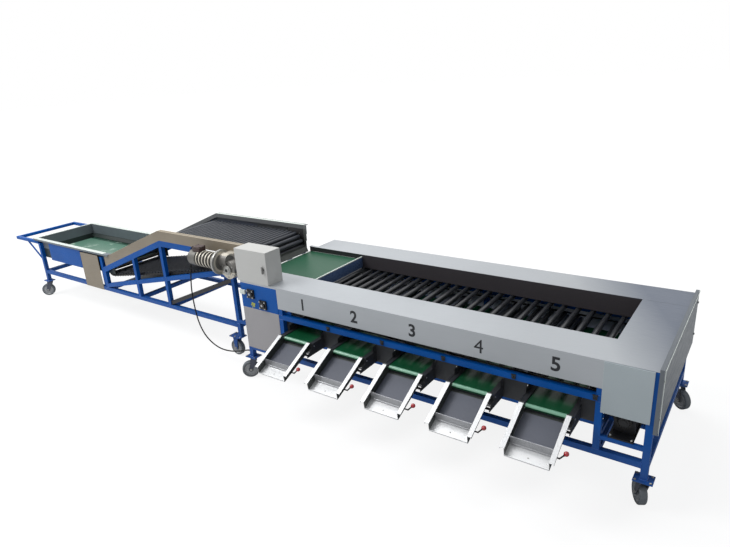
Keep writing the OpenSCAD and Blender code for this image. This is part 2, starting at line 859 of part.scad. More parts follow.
module chute_mats() {
    back = floor_y0 - 16;
    front = gate_y + gate_shaft_d / 2 + 8;
    mat = folded([[front, floor_z(front)], [back, floor_z(back)]], mat_t);
    color("darkslategray") placed() for (i = [0 : outlet_count - 1]) {
        prism_x(mat, outlet_x(i) - chute_w / 2 + 2, outlet_x(i) + chute_w / 2 - 2);
    }
}

// A gate: plate on its pivot shaft, with a bent lever and a ball
module gate(i) {
    x = outlet_x(i);
    half = chute_w / 2 - 3;
    r = gate_shaft_d / 2;
    color(c_zinc) placed() {
        rod_x(x - half - 7, x + lever_x, gate_y, gate_z, r);
        translate([x - half, gate_y, gate_z]) rotate([gate_lean, 0, 0]) cube([2 * half, sheet, gate_height]);
        rod_between([x + lever_x - r, gate_y, gate_z], [x, 0, 0] + ball_at, lever_d / 2);
        translate([x, 0, 0] + ball_at) sphere(d = ball_d, $fn = 32);
    }
}

// Grading rollers and their chains

// The return run under the bed, round both sprockets
roller_wheels = [[x_tail, z_tail, sprocket_r], [x_head, z_head, sprocket_r]];
return_count = floor((x_head - x_tail) / return_pitch);
turn_steps = [125, 180, 235];
roller_places = concat(
    [for (k = [0 : roller_count - 1]) [roller_x(k), bed_z_at(roller_x(k))]],
    [for (a = turn_steps) [x_tail, z_tail] + sprocket_r * [cos(a), sin(a)]],
    [for (a = turn_steps) [x_head, z_head] - sprocket_r * [cos(a), sin(a)]],
    [for (k = [0.5 : return_count - 0.5])
        let (x = x_tail + k * (x_head - x_tail) / return_count)
        [x, bed_z_at(x) - 2 * sprocket_r]]
);

module grading_rollers() {
    color(c_black) placed() for (p = roller_places) {
        rod_y(p[0], roller_y0, roller_y0 + roller_length, p[1], roller_d / 2);
    }
}

module roller_chains() {
    inner = [for (w = roller_wheels) [w[0], w[1], w[2] - chain_h / 2]];
    loose = 2 * seat;
    head = [x_head, z_head, head_drive_r + loose];
    tail = [x_tail, z_tail, drive_r + loose];
    jack = [jack_x, jack_z, drive_r + loose];
    drum = [infeed_drum_x, infeed_drum_z, drive_r + loose];
    color(c_dark) placed() {
        for (y = chain_y) {
            belt_y(inner, chain_h, y, y + chain_t);
        }
        belt_y([[main_motor_x, main_motor_z, motor_drive_r + loose], head], 8, drive_y, drive_y + chain_t);
        belt_y([jack, tail], 8, drive_y, drive_y + chain_t);
        belt_y([drum, jack], 8, drive_y + 20, drive_y + 20 + chain_t);
        for (y = elevator_chain_y) {
            translate([0, y + chain_t, 0]) rotate([90, 0, 0]) linear_extrude(chain_t) difference() {
                polygon(path_offset(elevator_path, chain_h / 2));
                polygon(path_offset(elevator_path, -chain_h / 2));
            }
        }
        for (p = elevator_places) {
            rod_y(p[0], elevator_chain_y[0] + chain_t + seat, elevator_y0 - seat, p[1], pin_r);
            rod_y(p[0], elevator_y0 + elevator_roller_l + seat, elevator_chain_y[1] - seat, p[1], pin_r);
        }
        for (p = roller_places) {
            rod_y(p[0], chain_y[0] + chain_t + seat, roller_y0 - seat, p[1], pin_r);
            rod_y(p[0], roller_y0 + roller_length + seat, chain_y[1] - seat, p[1], pin_r);
        }
    }
}

// A shaft with a sprocket inside each chain
module chain_shaft(x, z, y0, y1) {
    rod_y(x, y0, y1, z, shaft_d / 2);
    for (y = chain_y) {
        sprocket_y(x, y, z, sprocket_r - chain_h / 2 - 2 * seat, 15, shaft_d / 2 - 1, chain_t);
    }
}

module grader_head_shaft() {
    color(c_zinc) placed() {
        chain_shaft(x_head, z_head, y_front + tube - 14, y_back - tube + 14);
        sprocket_y(x_head, drive_y, z_head, head_drive_r, 19, shaft_d / 2 - 1, chain_t);
    }
}

module grader_tail_shaft() {
    color(c_zinc) placed() {
        chain_shaft(x_tail, z_tail, y_front + tube - 14, y_back - tube + 14);
        sprocket_y(x_tail, drive_y, z_tail, drive_r, 13, shaft_d / 2 - 1, chain_t);
    }
}

// Motor, gear case, feet and the drive up to the head shaft
module main_gearmotor() {
    x = main_motor_x;
    z = main_motor_z;
    color(c_black) placed() {
        block([x - 70, 6, motor_bar_z], [x + 70, motor_bar_y + motor_bar, motor_bar_z + 8]);
        rod_y(x, 110, 256, z, 64);
        rod_y(x, 256, 296, z, 58);
        for (k = [0 : 8]) {
            rod_y(x, 118 + 15 * k, 123 + 15 * k, z, 70);
        }
        block([x - 60, 90, motor_bar_z + 8], [x + 60, 110, z + 68]);
        rod_y(x, 66, 90, z, 18);
        sprocket_y(x, drive_y, z, motor_drive_r, 15, 17, chain_t);
        for (u = [-55, 35]) {
            block([x + u, 120, motor_bar_z + 8], [x + u + 20, 250, z - 30]);
        }
        block([x - 36, 150, z + 60], [x + 36, 230, z + 92]);
    }
}

// Control box

module hinge_barrels(low, high) {
    for (z = hinge_z) {
        rod_z(hinge_x, door_t + seat / 2, grader_height + z + low, grader_height + z + high, hinge_r);
    }
}

module control_box() {
    y0 = door_t + seat;
    x1 = box_x + box_w;
    z1 = grader_height + box_h;
    color("ivory") placed() {
        difference() {
            union() {
                difference() {
                    block([box_x, y0, grader_height], [x1, box_d, z1]);
                    block([box_x + box_t, y0 + box_t, grader_height + box_t], [x1 - box_t, box_d - box_t, z1 - box_t]);
                    block([box_x + 14, y0 - 1, grader_height + 14], [x1 - 14, y0 + box_t + 1, z1 - 14]);
                }
                hinge_barrels(-18, -seat);
                for (z = hinge_z) {
                    block([hinge_x, y0, grader_height + z - 18], [box_x, y0 + 3, grader_height + z - seat]);
                }
            }
            for (z = hinge_z) {
                rod_z(hinge_x, door_t + seat / 2, grader_height + z - 20, grader_height + z + 1, hinge_pin_d / 2 + 0.1);
            }
        }
        block([box_x + 30, box_d - 12, grader_height + 30], [x1 - 30, box_d - 10, z1 - 30]);
        for (u = [50, box_w - 60], z = [50, box_h - 60]) {
            block([box_x + u, box_d - 10, grader_height + z], [box_x + u + 10, box_d - box_t, grader_height + z + 10]);
        }
    }
}

module control_door() {
    x1 = box_x + box_w;
    z0 = grader_height + 1;
    z1 = grader_height + box_h;
    color("ivory") placed() {
        difference() {
            block([box_x, 0, z0], [x1, door_t, z1]);
            block([box_x + box_t, box_t, z0 + box_t], [x1 - box_t, door_t + 1, z1 - box_t]);
            rod_y(latch_x, -1, box_t + 1, latch_z, 5.1);
        }
        hinge_barrels(0, 18);
        for (z = hinge_z) {
            block([hinge_x, door_t - 3, grader_height + z], [box_x + 1, door_t, grader_height + z + 18]);
            rod_z(hinge_x, door_t + seat / 2, grader_height + z - 16, grader_height + z + 1, hinge_pin_d / 2);
        }
    }
}

module door_latch() {
    color(c_dark) placed() {
        rod_y(latch_x, -3, box_t + 8, latch_z, 5);
        rod_y(latch_x, -6, -seat, latch_z, 11);
        block([latch_x - 3, -14, latch_z - 16], [latch_x + 3, -6, latch_z + 16]);
        block([latch_x - 6, box_t + 6, latch_z - 6], [latch_x + 24, box_t + 9, latch_z + 6]);
    }
}

// Feed unit

// One side of the feed unit, whose outer face is at y
module feed_side(y) {
    x = feed_x;
    posts = [
        [x[0], post_z, bin_z - 54], [x[1], feed_rail_top, guard_top(x[1]) - guard_h - 40],
        [x[2], feed_rail_top, guard_top(x[2]) - guard_h - 30], [x[3], feed_rail_top, beam_top - 20], [x[4], post_z, 790]
    ];
    beam = [
        [x[1], guard_top(x[1]) - guard_h - beam_h], [peak_x, beam_top - beam_h], [beam_x1, beam_top - beam_h],
        [beam_x1, beam_top], [peak_x, beam_top], [x[1], guard_top(x[1]) - guard_h]
    ];
    bar = [
        [bar_x0, bar_z(bar_x0)], [bar_x1, bar_z(bar_x1)], [bar_x1, bar_z(bar_x1) + bar_h],
        [bar_x0, bar_z(bar_x0) + bar_h]
    ];
    for (p = posts) {
        block([p[0], y, p[1]], [p[0] + tube, y + tube, p[2]]);
    }
    block([x[0], y, feed_rail_z], [x[4] + tube, y + tube, feed_rail_top]);
    prism_y(beam, y, y + tube);
    prism_y(bar, y, y + tube);
    block([bar_x1 - 10, y, 775], [x[4] + tube, y + tube, 800]);
    foot([x[0] + post_half, y + post_half]);
    block([x[4] - 105, y + post_half - 45, foot_z], [x[4] + tube, y + post_half + 45, post_z]);
    translate([fixed_x, y + post_half, 0]) fork(0, foot_z);
}

module head_plate(y, t) {
    difference() {
        block([-760, y, 800], [-560, y + t, beam_top]);
        rod_y(head_x, y - 1, y + t + 1, head_z, shaft_d / 2 + run_fit);
    }
}

module feed_frame_near() {
    color(c_blue) placed() {
        difference() {
            feed_side(feed_y0);
            kingpin_hole(feed_casters[0]);
        }
        head_plate(feed_y0, 8);
        block([-3987, feed_y0, bin_wall_z], [-3303, feed_in0, bin_z - 18]);
    }
}

module feed_frame_far() {
    color(c_blue) placed() {
        difference() {
            union() {
                feed_side(feed_y1 - tube);
                for (x = feed_x) {
                    block([x, feed_in0, feed_rail_z], [x + tube, feed_in1, feed_rail_top]);
                }
            }
            kingpin_hole(feed_casters[1]);
        }
        head_plate(feed_y1 - 8, 8);
    }
}

// The U-shaped handle with its bends and two braces
module push_handle() {
    r = handle_d / 2;
    x0 = feed_x[0] - handle_reach + r;
    y = [feed_y0 + post_half, feed_y1 - post_half];
    color(c_blue) placed() {
        for (v = y) {
            rod_x(x0 + handle_bend, feed_x[0], v, handle_z, r);
            difference() {
                rod_between([x0 + 240, v, handle_z], [feed_x[0] + 20, v, handle_z - 244], 10);
                block([feed_x[0], v - 20, bin_wall_z - 100], [feed_x[0] + 40, v + 20, handle_z]);
            }
        }
        rod_y(x0, y[0] + handle_bend, y[1] - handle_bend, handle_z, r);
        translate([x0 + handle_bend, y[0] + handle_bend, handle_z]) rotate(180)
            rotate_extrude(angle = 90, $fn = 64) translate([handle_bend, 0]) circle(r = r, $fn = 32);
        translate([x0 + handle_bend, y[1] - handle_bend, handle_z]) rotate(90)
            rotate_extrude(angle = 90, $fn = 64) translate([handle_bend, 0]) circle(r = r, $fn = 32);
    }
}

bin_wheels = [
    [bin_belt_x[0], bin_belt_z - bin_belt_t - bin_belt_r, bin_belt_r],
    [bin_belt_x[1], bin_belt_z - bin_belt_t - bin_belt_r, bin_belt_r]
];

// The bin: two side walls and an end wall with folded rims, deck and sloping skirts
module feed_bin() {
    x0 = bin_end_x + 30;
    half = [feed_in0, feed_in1];
    rim = bin_rim_w;
    near = folded([
        [half[0] - rim, bin_z - 20], [half[0] - rim, bin_z], [half[0] + sheet, bin_z], [half[0] + sheet, bin_wall_z]
    ], -sheet);
    far = folded([
        [half[1] + rim, bin_z - 20], [half[1] + rim, bin_z], [half[1] - sheet, bin_z], [half[1] - sheet, bin_wall_z]
    ], sheet);
    end = folded([[bin_end_x, bin_z - 20], [bin_end_x, bin_z], [x0 + sheet, bin_z]], -sheet);
    y_skirt = (feed_width - 2 * tube - bin_belt_w) / 2 + 6;
    color(c_zinc) placed() difference() {
        union() {
            prism_x(near, bin_end_x, bin_x1);
            prism_x(far, bin_end_x, bin_x1);
            prism_y(end, half[0] - rim, half[1] + rim);
            block([x0, half[0], bin_wall_z], [x0 + sheet, half[1], bin_z]);
            block(
                [bin_belt_x[0] + bin_belt_r + 4, half[0], bin_belt_z - 8],
                [bin_belt_x[1] - bin_belt_r - 4, half[1], bin_belt_z - bin_belt_t - seat]
            );
            prism_x(folded([[half[0] + sheet, 612], [half[0] + y_skirt, 574]], sheet), x0, bin_belt_x[1] + 30);
            prism_x(folded([[half[1] - sheet, 612], [half[1] - y_skirt, 574]], -sheet), x0, bin_belt_x[1] + 30);
        }
        for (w = bin_wheels) {
            rod_y(w[0], half[0] - 1, half[1] + 1, w[1], bin_shaft_d / 2 + run_fit);
        }
        rod_y(tail_x, half[0] - 1, half[1] + 1, tail_z, shaft_d / 2 + run_fit);
    }
}

module bin_belt() {
    y = (feed_in0 + feed_in1 - bin_belt_w) / 2;
    color(c_dark) placed() belt_y(bin_wheels, bin_belt_t, y, y + bin_belt_w);
}

module bin_roller(w) {
    y = (feed_in0 + feed_in1 - bin_belt_w) / 2;
    color(c_zinc) placed() {
        rod_y(w[0], y - 3, y + bin_belt_w + 3, w[1], bin_belt_r - seat);
        rod_y(w[0], feed_in0 + seat, feed_in1 - seat, w[1], bin_shaft_d / 2);
    }
}

// Elevator

// Strip of a guard between two heights below its top edge
function guard_strip(low, high) = [
    [guard_x0, guard_top(guard_x0) - low], [peak_x, guard_z - low], [guard_x1, guard_z - low],
    [guard_x1, guard_z - high], [peak_x, guard_z - high], [guard_x0, guard_top(guard_x0) - high]
];

// Two long C-shaped guards over the chains, and the plates beside the bin
module elevator_guards() {
    color(c_beige) placed() {
        prism_y(guard_strip(guard_h, 0), feed_y0, feed_y0 + sheet);
        prism_y(guard_strip(sheet, 0), feed_y0, feed_in0);
        prism_y(guard_strip(42, 0), feed_in0 - sheet, feed_in0);
        prism_y(guard_strip(guard_h, 0), feed_y1 - sheet, feed_y1);
        prism_y(guard_strip(sheet, 0), feed_in1, feed_y1);
        prism_y(guard_strip(42, 0), feed_in1, feed_in1 + sheet);
        block([guard_x1 - sheet, feed_in1, guard_z - guard_h], [guard_x1, feed_y1, guard_z]);
        block([-3294, feed_y0 - sheet, feed_rail_z - 2], [-2943, feed_y0, bin_z - 40]);
    }
}

// The chain's path round the tail, up the incline, along the level and back
elevator_path = concat(
    arc([head_x, head_z], head_r, 90, -90, 12),
    [shoe],
    arc([tail_x, tail_z], tail_r, 280, 111.75, 12),
    [[peak_x, run_z]]
);
elevator_sums = path_sums(elevator_path);
elevator_total = elevator_sums[len(elevator_path)];
elevator_count = floor(elevator_total / elevator_pitch);
elevator_places = [
    for (k = [0 : elevator_count - 1]) path_at(elevator_path, elevator_sums, (k + 0.5) * elevator_total / elevator_count)
];

module elevator_rollers() {
    color(c_dark) placed() for (p = elevator_places) {
        rod_y(p[0], elevator_y0, elevator_y0 + elevator_roller_l, p[1], elevator_roller_d / 2);
    }
}

module elevator_bed() {
    y = [feed_in0, feed_in1 - sheet];
    tray = [
        [bar_x0 + 29, bar_z(bar_x0 + 29) + 2], [bar_x1, bar_z(bar_x1) + 2], [bar_x1, bar_z(bar_x1) + 4],
        [bar_x0 + 29, bar_z(bar_x0 + 29) + 4]
    ];
    slide = [[guard_x1 - 6, beam_top - 12], [guard_x1, beam_top - 34], [-486, infeed_top + 4]];
    color(c_black) placed() {
        prism_y(tray, feed_in0, feed_in1);
        for (v = y) {
            difference() {
                block([head_x - 90, v, head_z - 53], [guard_x1 + 4, v + sheet, beam_top + 60]);
                rod_y(head_x, v - 1, v + sheet + 1, head_z, shaft_d / 2 + run_fit);
            }
        }
        prism_y(folded(slide, 3), infeed_y0, feed_in1 - 5);
        prism_y(folded([slide[0], slide[1]], 3), feed_in0, feed_in1);
        prism_y([
            [feed_x[3] + tube, feed_rail_top], [feed_x[4], 740], [feed_x[4], 768], [feed_x[4] - 30, 768],
            [feed_x[3] + tube, feed_rail_top + 42]
        ], feed_y0 + 8, feed_in0 - 8);
    }
}

module elevator_shaft(x, z, r, y0, y1) {
    color(c_zinc) placed() {
        rod_y(x, y0, y1, z, shaft_d / 2);
        for (y = elevator_chain_y) {
            sprocket_y(x, y, z, r - chain_h / 2 - 3 * seat, 18, shaft_d / 2 - 1, chain_t);
        }
    }
}

module elevator_head_shaft() {
    elevator_shaft(head_x, head_z, head_r, gearbox_y0 - 6, feed_y1 + 6);
}

module elevator_tail_shaft() {
    elevator_shaft(tail_x, tail_z, tail_r, feed_in0 + seat, feed_in1 - seat);
}

// Worm gear case on the head shaft, with its ribbed motor and terminal box
module feed_gearmotor() {
    r = motor_d / 2;
    y = motor_y;
    color(c_grey) placed() {
        difference() {
            union() {
                rod_y(head_x, gearbox_y0 + 8, feed_y0, head_z, 82);
                rod_y(head_x, gearbox_y0, gearbox_y0 + 8, head_z, 44);
                block([motor_x[1] + 20, gearbox_y0 + 20, head_z - 60], [head_x, feed_y0, motor_z + 74]);
                rod_x(motor_x[1] + 20, head_x, y + 20, motor_z + 20, 62);
            }
            rod_y(head_x, gearbox_y0 - 1, feed_y0 + 1, head_z, shaft_d / 2 + run_fit);
        }
        rod_x(motor_x[1], motor_x[1] + 20, y, motor_z, motor_flange_d / 2);
        rod_x(motor_x[0] + 14, motor_x[1], y, motor_z, r - 12);
        rod_x(motor_x[0], motor_x[0] + 90, y, motor_z, r - 4);
        for (k = [0 : 5]) {
            rod_x(motor_x[0] + 112 + 40 * k, motor_x[0] + 124 + 40 * k, y, motor_z, r);
        }
        block([motor_x[0] + 47, y - 36, motor_z + r - 16], [motor_x[0] + 137, y + 36, motor_z + r + 34]);
    }
}

// A smooth cable through the points of its route
function smooth(p, i, t) =
    let (
        a = p[max(i - 1, 0)], b = p[i], c = p[i + 1], d = p[min(i + 2, len(p) - 1)]
    )
    0.5 * (2 * b + (c - a) * t + (2 * a - 5 * b + 4 * c - d) * t * t + (3 * b - a - 3 * c + d) * t * t * t);

cable_step = 30;
cable_line = concat(
    [for (i = [0 : len(cable_route) - 2])
        let (n = max(1, round(norm(cable_route[i + 1] - cable_route[i]) / cable_step)))
        for (k = [0 : n - 1]) smooth(cable_route, i, k / n)],
    [cable_route[len(cable_route) - 1]]
);

module motor_cable() {
    sides = 8;
    p = cable_line;
    n = len(p);
    along = [for (i = [0 : n - 1]) unit(p[min(i + 1, n - 1)] - p[max(i - 1, 0)])];
    flat = [for (v = along) unit(cross(v, [0, 1, 0]))];
    rings = [
        for (i = [0 : n - 1], s = [0 : sides - 1])
            let (a = s * 360 / sides)
            p[i] + cable_d / 2 * (cos(a) * flat[i] + sin(a) * cross(along[i], flat[i]))
    ];
    faces = concat(
        [for (i = [0 : n - 2], s = [0 : sides - 1], h = [0, 1])
            let (a = i * sides + s, b = i * sides + (s + 1) % sides)
            h == 0 ? [a, b, b + sides] : [a, b + sides, a + sides]],
        [[for (s = [sides - 1 : -1 : 0]) s]],
        [[for (s = [0 : sides - 1]) (n - 1) * sides + s]]
    );
    color(c_black) placed() polyhedron(rings, faces);
}

module cable_glands() {
    a = cable_route[0];
    b = cable_route[len(cable_route) - 1];
    color(c_black) placed() {
        rod_x(a[0], motor_x[0] + 47, a[1], a[2], 11);
        rod_x(b[0], x_left, b[1], b[2], 9);
    }
}

grader_frame_front();
grader_frame_back();
front_cover();
back_cover();
side_panels();
end_plate();
well_liner();
infeed_frame();
infeed_belt();
infeed_drive_roller();
jackshaft();
flange_bearings();
outlet_beds();
outlet_belts();
outlet_chutes();
chute_mats();
outlet_nose_rollers();
outlet_drive_shaft();
gate(0);  // gate_1
gate(1);  // gate_2
gate(2);  // gate_3
gate(3);  // gate_4
gate(4);  // gate_5
grading_rollers();
roller_chains();
grader_head_shaft();
grader_tail_shaft();
main_gearmotor();
control_box();
control_door();
door_latch();
feed_frame_near();
feed_frame_far();
push_handle();
feed_bin();
bin_belt();
bin_roller(bin_wheels[1]);  // bin_drive_roller
bin_roller(bin_wheels[0]);  // bin_tail_roller
elevator_guards();
elevator_rollers();
elevator_bed();
elevator_head_shaft();
elevator_tail_shaft();
feed_gearmotor();
motor_cable();
cable_glands();
grader_fork(0);  // grader_caster_fork_1
grader_fork(1);  // grader_caster_fork_2
grader_fork(2);  // grader_caster_fork_3
grader_fork(3);  // grader_caster_fork_4
grader_wheel(0);  // grader_caster_wheel_1
grader_wheel(1);  // grader_caster_wheel_2
grader_wheel(2);  // grader_caster_wheel_3
grader_wheel(3);  // grader_caster_wheel_4
swivel_fork(feed_casters[0]);  // feed_caster_fork_1
swivel_fork(feed_casters[1]);  // feed_caster_fork_2
wheel(feed_casters[0], feed_casters[0][2], trail);  // feed_caster_wheel_1
wheel(feed_casters[1], feed_casters[1][2], trail);  // feed_caster_wheel_2
wheel([fixed_x, feed_y0 + post_half], 0, 0);  // fixed_caster_wheel_1
wheel([fixed_x, feed_y1 - post_half], 0, 0);  // fixed_caster_wheel_2
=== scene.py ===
# %% [markdown]
# # A fruit grading machine
# The machine's steel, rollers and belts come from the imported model, which is loaded as a fixed frame. This
# notebook gives each of them its finish. It adds what is too fine for the frame, such as weld beads, bolts,
# wheel discs, the motor's details and the outlet numbers, and some sheets and tubes that the frame lacks.

# %% load the frame
import math

import bmesh
import bpy
from mathutils import Matrix, Vector


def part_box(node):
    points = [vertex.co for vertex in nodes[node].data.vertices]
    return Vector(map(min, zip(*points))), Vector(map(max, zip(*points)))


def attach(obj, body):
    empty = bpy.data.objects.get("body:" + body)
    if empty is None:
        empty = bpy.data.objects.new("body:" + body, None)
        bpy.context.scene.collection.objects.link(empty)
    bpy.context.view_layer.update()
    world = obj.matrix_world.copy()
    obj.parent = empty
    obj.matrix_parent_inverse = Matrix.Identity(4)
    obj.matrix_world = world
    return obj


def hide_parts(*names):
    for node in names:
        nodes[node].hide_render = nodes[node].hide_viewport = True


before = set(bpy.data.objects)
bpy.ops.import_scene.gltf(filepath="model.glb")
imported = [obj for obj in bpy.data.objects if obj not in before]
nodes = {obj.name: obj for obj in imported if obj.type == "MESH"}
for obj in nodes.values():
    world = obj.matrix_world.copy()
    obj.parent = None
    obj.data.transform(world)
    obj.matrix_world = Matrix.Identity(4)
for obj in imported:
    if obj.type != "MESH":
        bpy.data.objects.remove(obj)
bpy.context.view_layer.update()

# %% [markdown]
# The drawing of the machine counts millimetres from the left end of the numbered skirt, on its front face and
# at floor level. One function turns such a place into the frame's metres, so that every later cell can use
# the drawing's own round numbers. The skirt's end is found from the cover, which begins 405 mm further left.

# %% places in the drawing
cover_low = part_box("front_cover")[0]
COVER_REACH = 0.405
START = Vector((cover_low.x + COVER_REACH, cover_low.y, 0))


def at(x, y, z):
    return START + Vector((x, y, z)) / 1000


FIRST_OUTLET = 258
PITCH = 490
OUTLETS = [FIRST_OUTLET + PITCH * i for i in range(5)]
HEAD_X, HEAD_Z = -640, 925
MOTOR_Y, MOTOR_Z = 112, 978
TUBE = 40
print("the skirt starts at", tuple(round(v, 4) for v in START))

# %% [markdown]
# The photograph was taken from the front right, at about 2.5 m above the floor. The camera's place, its
# three axes and its focal length in pixels were worked out from the machine's own straight edges, which all
# run to common vanishing points.

# %% camera
right = Vector((0.81777, 0.57259, -0.05824))
down = Vector((0.14765, -0.30652, -0.94034))
forward = Vector((-0.55628, 0.76039, -0.33521))
turn = Matrix((right, -down, -forward)).transposed().to_4x4()
FOCAL, PHOTO_WIDTH = 590.35, 730
lens = bpy.data.cameras.new("camera")
lens.sensor_width = 36
lens.lens = FOCAL / PHOTO_WIDTH * lens.sensor_width
lens.clip_end = 200
camera = bpy.data.objects.new("camera", lens)
bpy.context.scene.collection.objects.link(camera)
camera.matrix_world = Matrix.Translation(at(3166.65, -3117.6, 2536.83)) @ turn
bpy.context.scene.camera = camera
print("camera", tuple(round(v, 3) for v in camera.location), "lens", round(lens.lens, 2), "mm")

# %% [markdown]
# The motor's cable hangs in one long loop from the terminal box to the grader's corner post, and all of it
# can be seen, so its length is the length of that loop. A Bezier curve runs through the same points as the
# frame's plain tube. Each handle is a sixth of the way between the point's neighbours, which gives the same
# smooth line as the tube has.

# %% motor cable
ROUTE = [
    (-1078, 112, 1066), (-1102, 112, 1066), (-1126, 112, 1048), (-1138, 112, 1005), (-1150, 112, 945),
    (-1178, 112, 840), (-1202, 112, 734), (-1217, 112, 611), (-1212, 112, 450), (-1187, 112, 309),
    (-1127, 112, 197), (-1029, 112, 125), (-910, 110, 95), (-765, 100, 110), (-610, 75, 160),
    (-500, 45, 208), (-455, 24, 230), (-430, 22, 236), (-413, 22, 236),
]
line = [at(*p) for p in ROUTE]


curve = bpy.data.curves.new("cable", "CURVE")
curve.dimensions = "3D"
curve.bevel_depth = 0.006
curve.bevel_resolution = 4
curve.resolution_u = 10
curve.use_fill_caps = True
spline = curve.splines.new("BEZIER")
spline.bezier_points.add(len(line) - 1)
for i, knot in enumerate(spline.bezier_points):
    step = (line[min(i + 1, len(line) - 1)] - line[max(i - 1, 0)]) / 6
    knot.handle_left_type = knot.handle_right_type = "FREE"
    knot.co = line[i]
    knot.handle_left = line[i] - step
    knot.handle_right = line[i] + step
cable = bpy.data.objects.new("cable", curve)
bpy.context.scene.collection.objects.link(cable)
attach(cable, "root")
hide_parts("motor_cable")

# %% [markdown]
# A cut-out photograph has a white background, so the floor is white with only a soft shadow. Camera rays see
# a blend of the floor's own shade and plain white, and far from the machine they see only white, so no
# horizon shows. The world is white to the camera and to reflections, and gives a dimmer, even light from all
# sides. A large lamp high on the left makes the tops bright and leaves the right end in shade, as in the
# photograph.

# %% floor and light
scene = bpy.context.scene
scene.view_settings.view_transform = "Standard"


def tree_of(owner):
    owner.use_nodes = True
    owner.node_tree.nodes.clear()
    return owner.node_tree


def add(tree, kind, **values):
    made = tree.nodes.new(kind)
    for name, value in values.items():
        setattr(made, name, value)
    return made


def fill(node, **values):
    for name, value in values.items():
        node.inputs[name].default_value = value


def link(tree, pairs):
    for start, end in pairs:
        tree.links.new(start, end)


def ramp(tree, low, high, to_low=0.0, to_high=1.0, **values):
    """A map range that turns low..high into to_low..to_high."""
    made = add(tree, "ShaderNodeMapRange", **values)
    for label, value in (("From Min", low), ("From Max", high), ("To Min", to_low), ("To Max", to_high)):
        made.inputs[label].default_value = value
    return made


FLOOR_NEAR, FLOOR_FAR = 4.2, 9.0
floor_paint = bpy.data.materials.new("floor_white")
tree = tree_of(floor_paint)
shade = add(tree, "ShaderNodeBsdfDiffuse")
fill(shade, Color=(0.8, 0.8, 0.8, 1))
glow = add(tree, "ShaderNodeEmission")
fill(glow, Strength=1.14)
path = add(tree, "ShaderNodeLightPath")
where = add(tree, "ShaderNodeTexCoord")
away = add(tree, "ShaderNodeVectorMath", operation="LENGTH")
far = ramp(tree, FLOOR_NEAR, FLOOR_FAR, 0.76, 1, interpolation_type="SMOOTHSTEP")
share = add(tree, "ShaderNodeMath", operation="MULTIPLY")
link(tree, [
    (where.outputs["Object"], away.inputs[0]),
    (away.outputs["Value"], far.inputs["Value"]),
    (far.outputs[0], share.inputs[1]),
])
blend = add(tree, "ShaderNodeMixShader")
out = add(tree, "ShaderNodeOutputMaterial")
link(tree, [
    (path.outputs["Is Camera Ray"], share.inputs[0]),
    (share.outputs[0], blend.inputs[0]),
    (shade.outputs[0], blend.inputs[1]),
    (glow.outputs[0], blend.inputs[2]),
    (blend.outputs[0], out.inputs[0]),
])
bm = bmesh.new()
bmesh.ops.create_grid(bm, x_segments=2, y_segments=2, size=60)
floor_mesh = bpy.data.meshes.new("floor")
bm.to_mesh(floor_mesh)
bm.free()
floor = bpy.data.objects.new("floor", floor_mesh)
scene.collection.objects.link(floor)
floor_mesh.materials.append(floor_paint)

world = bpy.data.worlds.new("studio")
scene.world = world
tree = tree_of(world)
path = add(tree, "ShaderNodeLightPath")
seen = add(tree, "ShaderNodeMath", operation="MAXIMUM")
seen_all = add(tree, "ShaderNodeMath", operation="MAXIMUM")
link(tree, [
    (path.outputs["Is Camera Ray"], seen.inputs[0]),
    (path.outputs["Is Transmission Ray"], seen.inputs[1]),
    (seen.outputs[0], seen_all.inputs[0]),
    (path.outputs["Is Glossy Ray"], seen_all.inputs[1]),
])
dim = add(tree, "ShaderNodeBackground")
fill(dim, Color=(0.93, 0.96, 1, 1), Strength=0.4)
bright = add(tree, "ShaderNodeBackground")
fill(bright, Color=(1, 1, 1, 1), Strength=1)
blend = add(tree, "ShaderNodeMixShader")
out = add(tree, "ShaderNodeOutputWorld")
link(tree, [
    (seen_all.outputs[0], blend.inputs[0]),
    (dim.outputs[0], blend.inputs[1]),
    (bright.outputs[0], blend.inputs[2]),
    (blend.outputs[0], out.inputs[0]),
])


def lamp(name, place, target, size, power):
    light = bpy.data.lights.new(name, "AREA")
    light.shape = "DISK"
    light.size = size
    light.energy = power
    body = bpy.data.objects.new(name, light)
    scene.collection.objects.link(body)
    body.location = place
    body.rotation_euler = (Vector(target) - Vector(place)).to_track_quat("-Z", "Y").to_euler()


lamp("key", (-4.5, -4.0, 8.5), (0.3, 0, 0.5), 5.0, 640)
lamp("top", (-1.0, 2.5, 8.0), (0.5, 0, 0.5), 6.0, 340)
print("floor, world and two lamps")

# %% [markdown]
# Every finish here needs the same few effects: slow changes of tone, fine grain, patches of wear, and dust
# near the floor. Each is a node group, made once, that puts out a mask or a height. The materials place the
# groups with their own values, so the paint and the steel share one recipe for wear and still look different.

# %% effect groups
def new_group(name, inputs, outputs):
    tree = bpy.data.node_groups.new(name, "ShaderNodeTree")
    for label, kind, value in inputs:
        socket = tree.interface.new_socket(label, in_out="INPUT", socket_type=kind)
        if value is not None:
            socket.default_value = value
    for label in outputs:
        tree.interface.new_socket(label, in_out="OUTPUT", socket_type="NodeSocketFloat")
    return tree, tree.nodes.new("NodeGroupInput"), tree.nodes.new("NodeGroupOutput")


FLOAT, VECTOR = "NodeSocketFloat", "NodeSocketVector"
NOISE_SPAN = (0.3, 0.7)

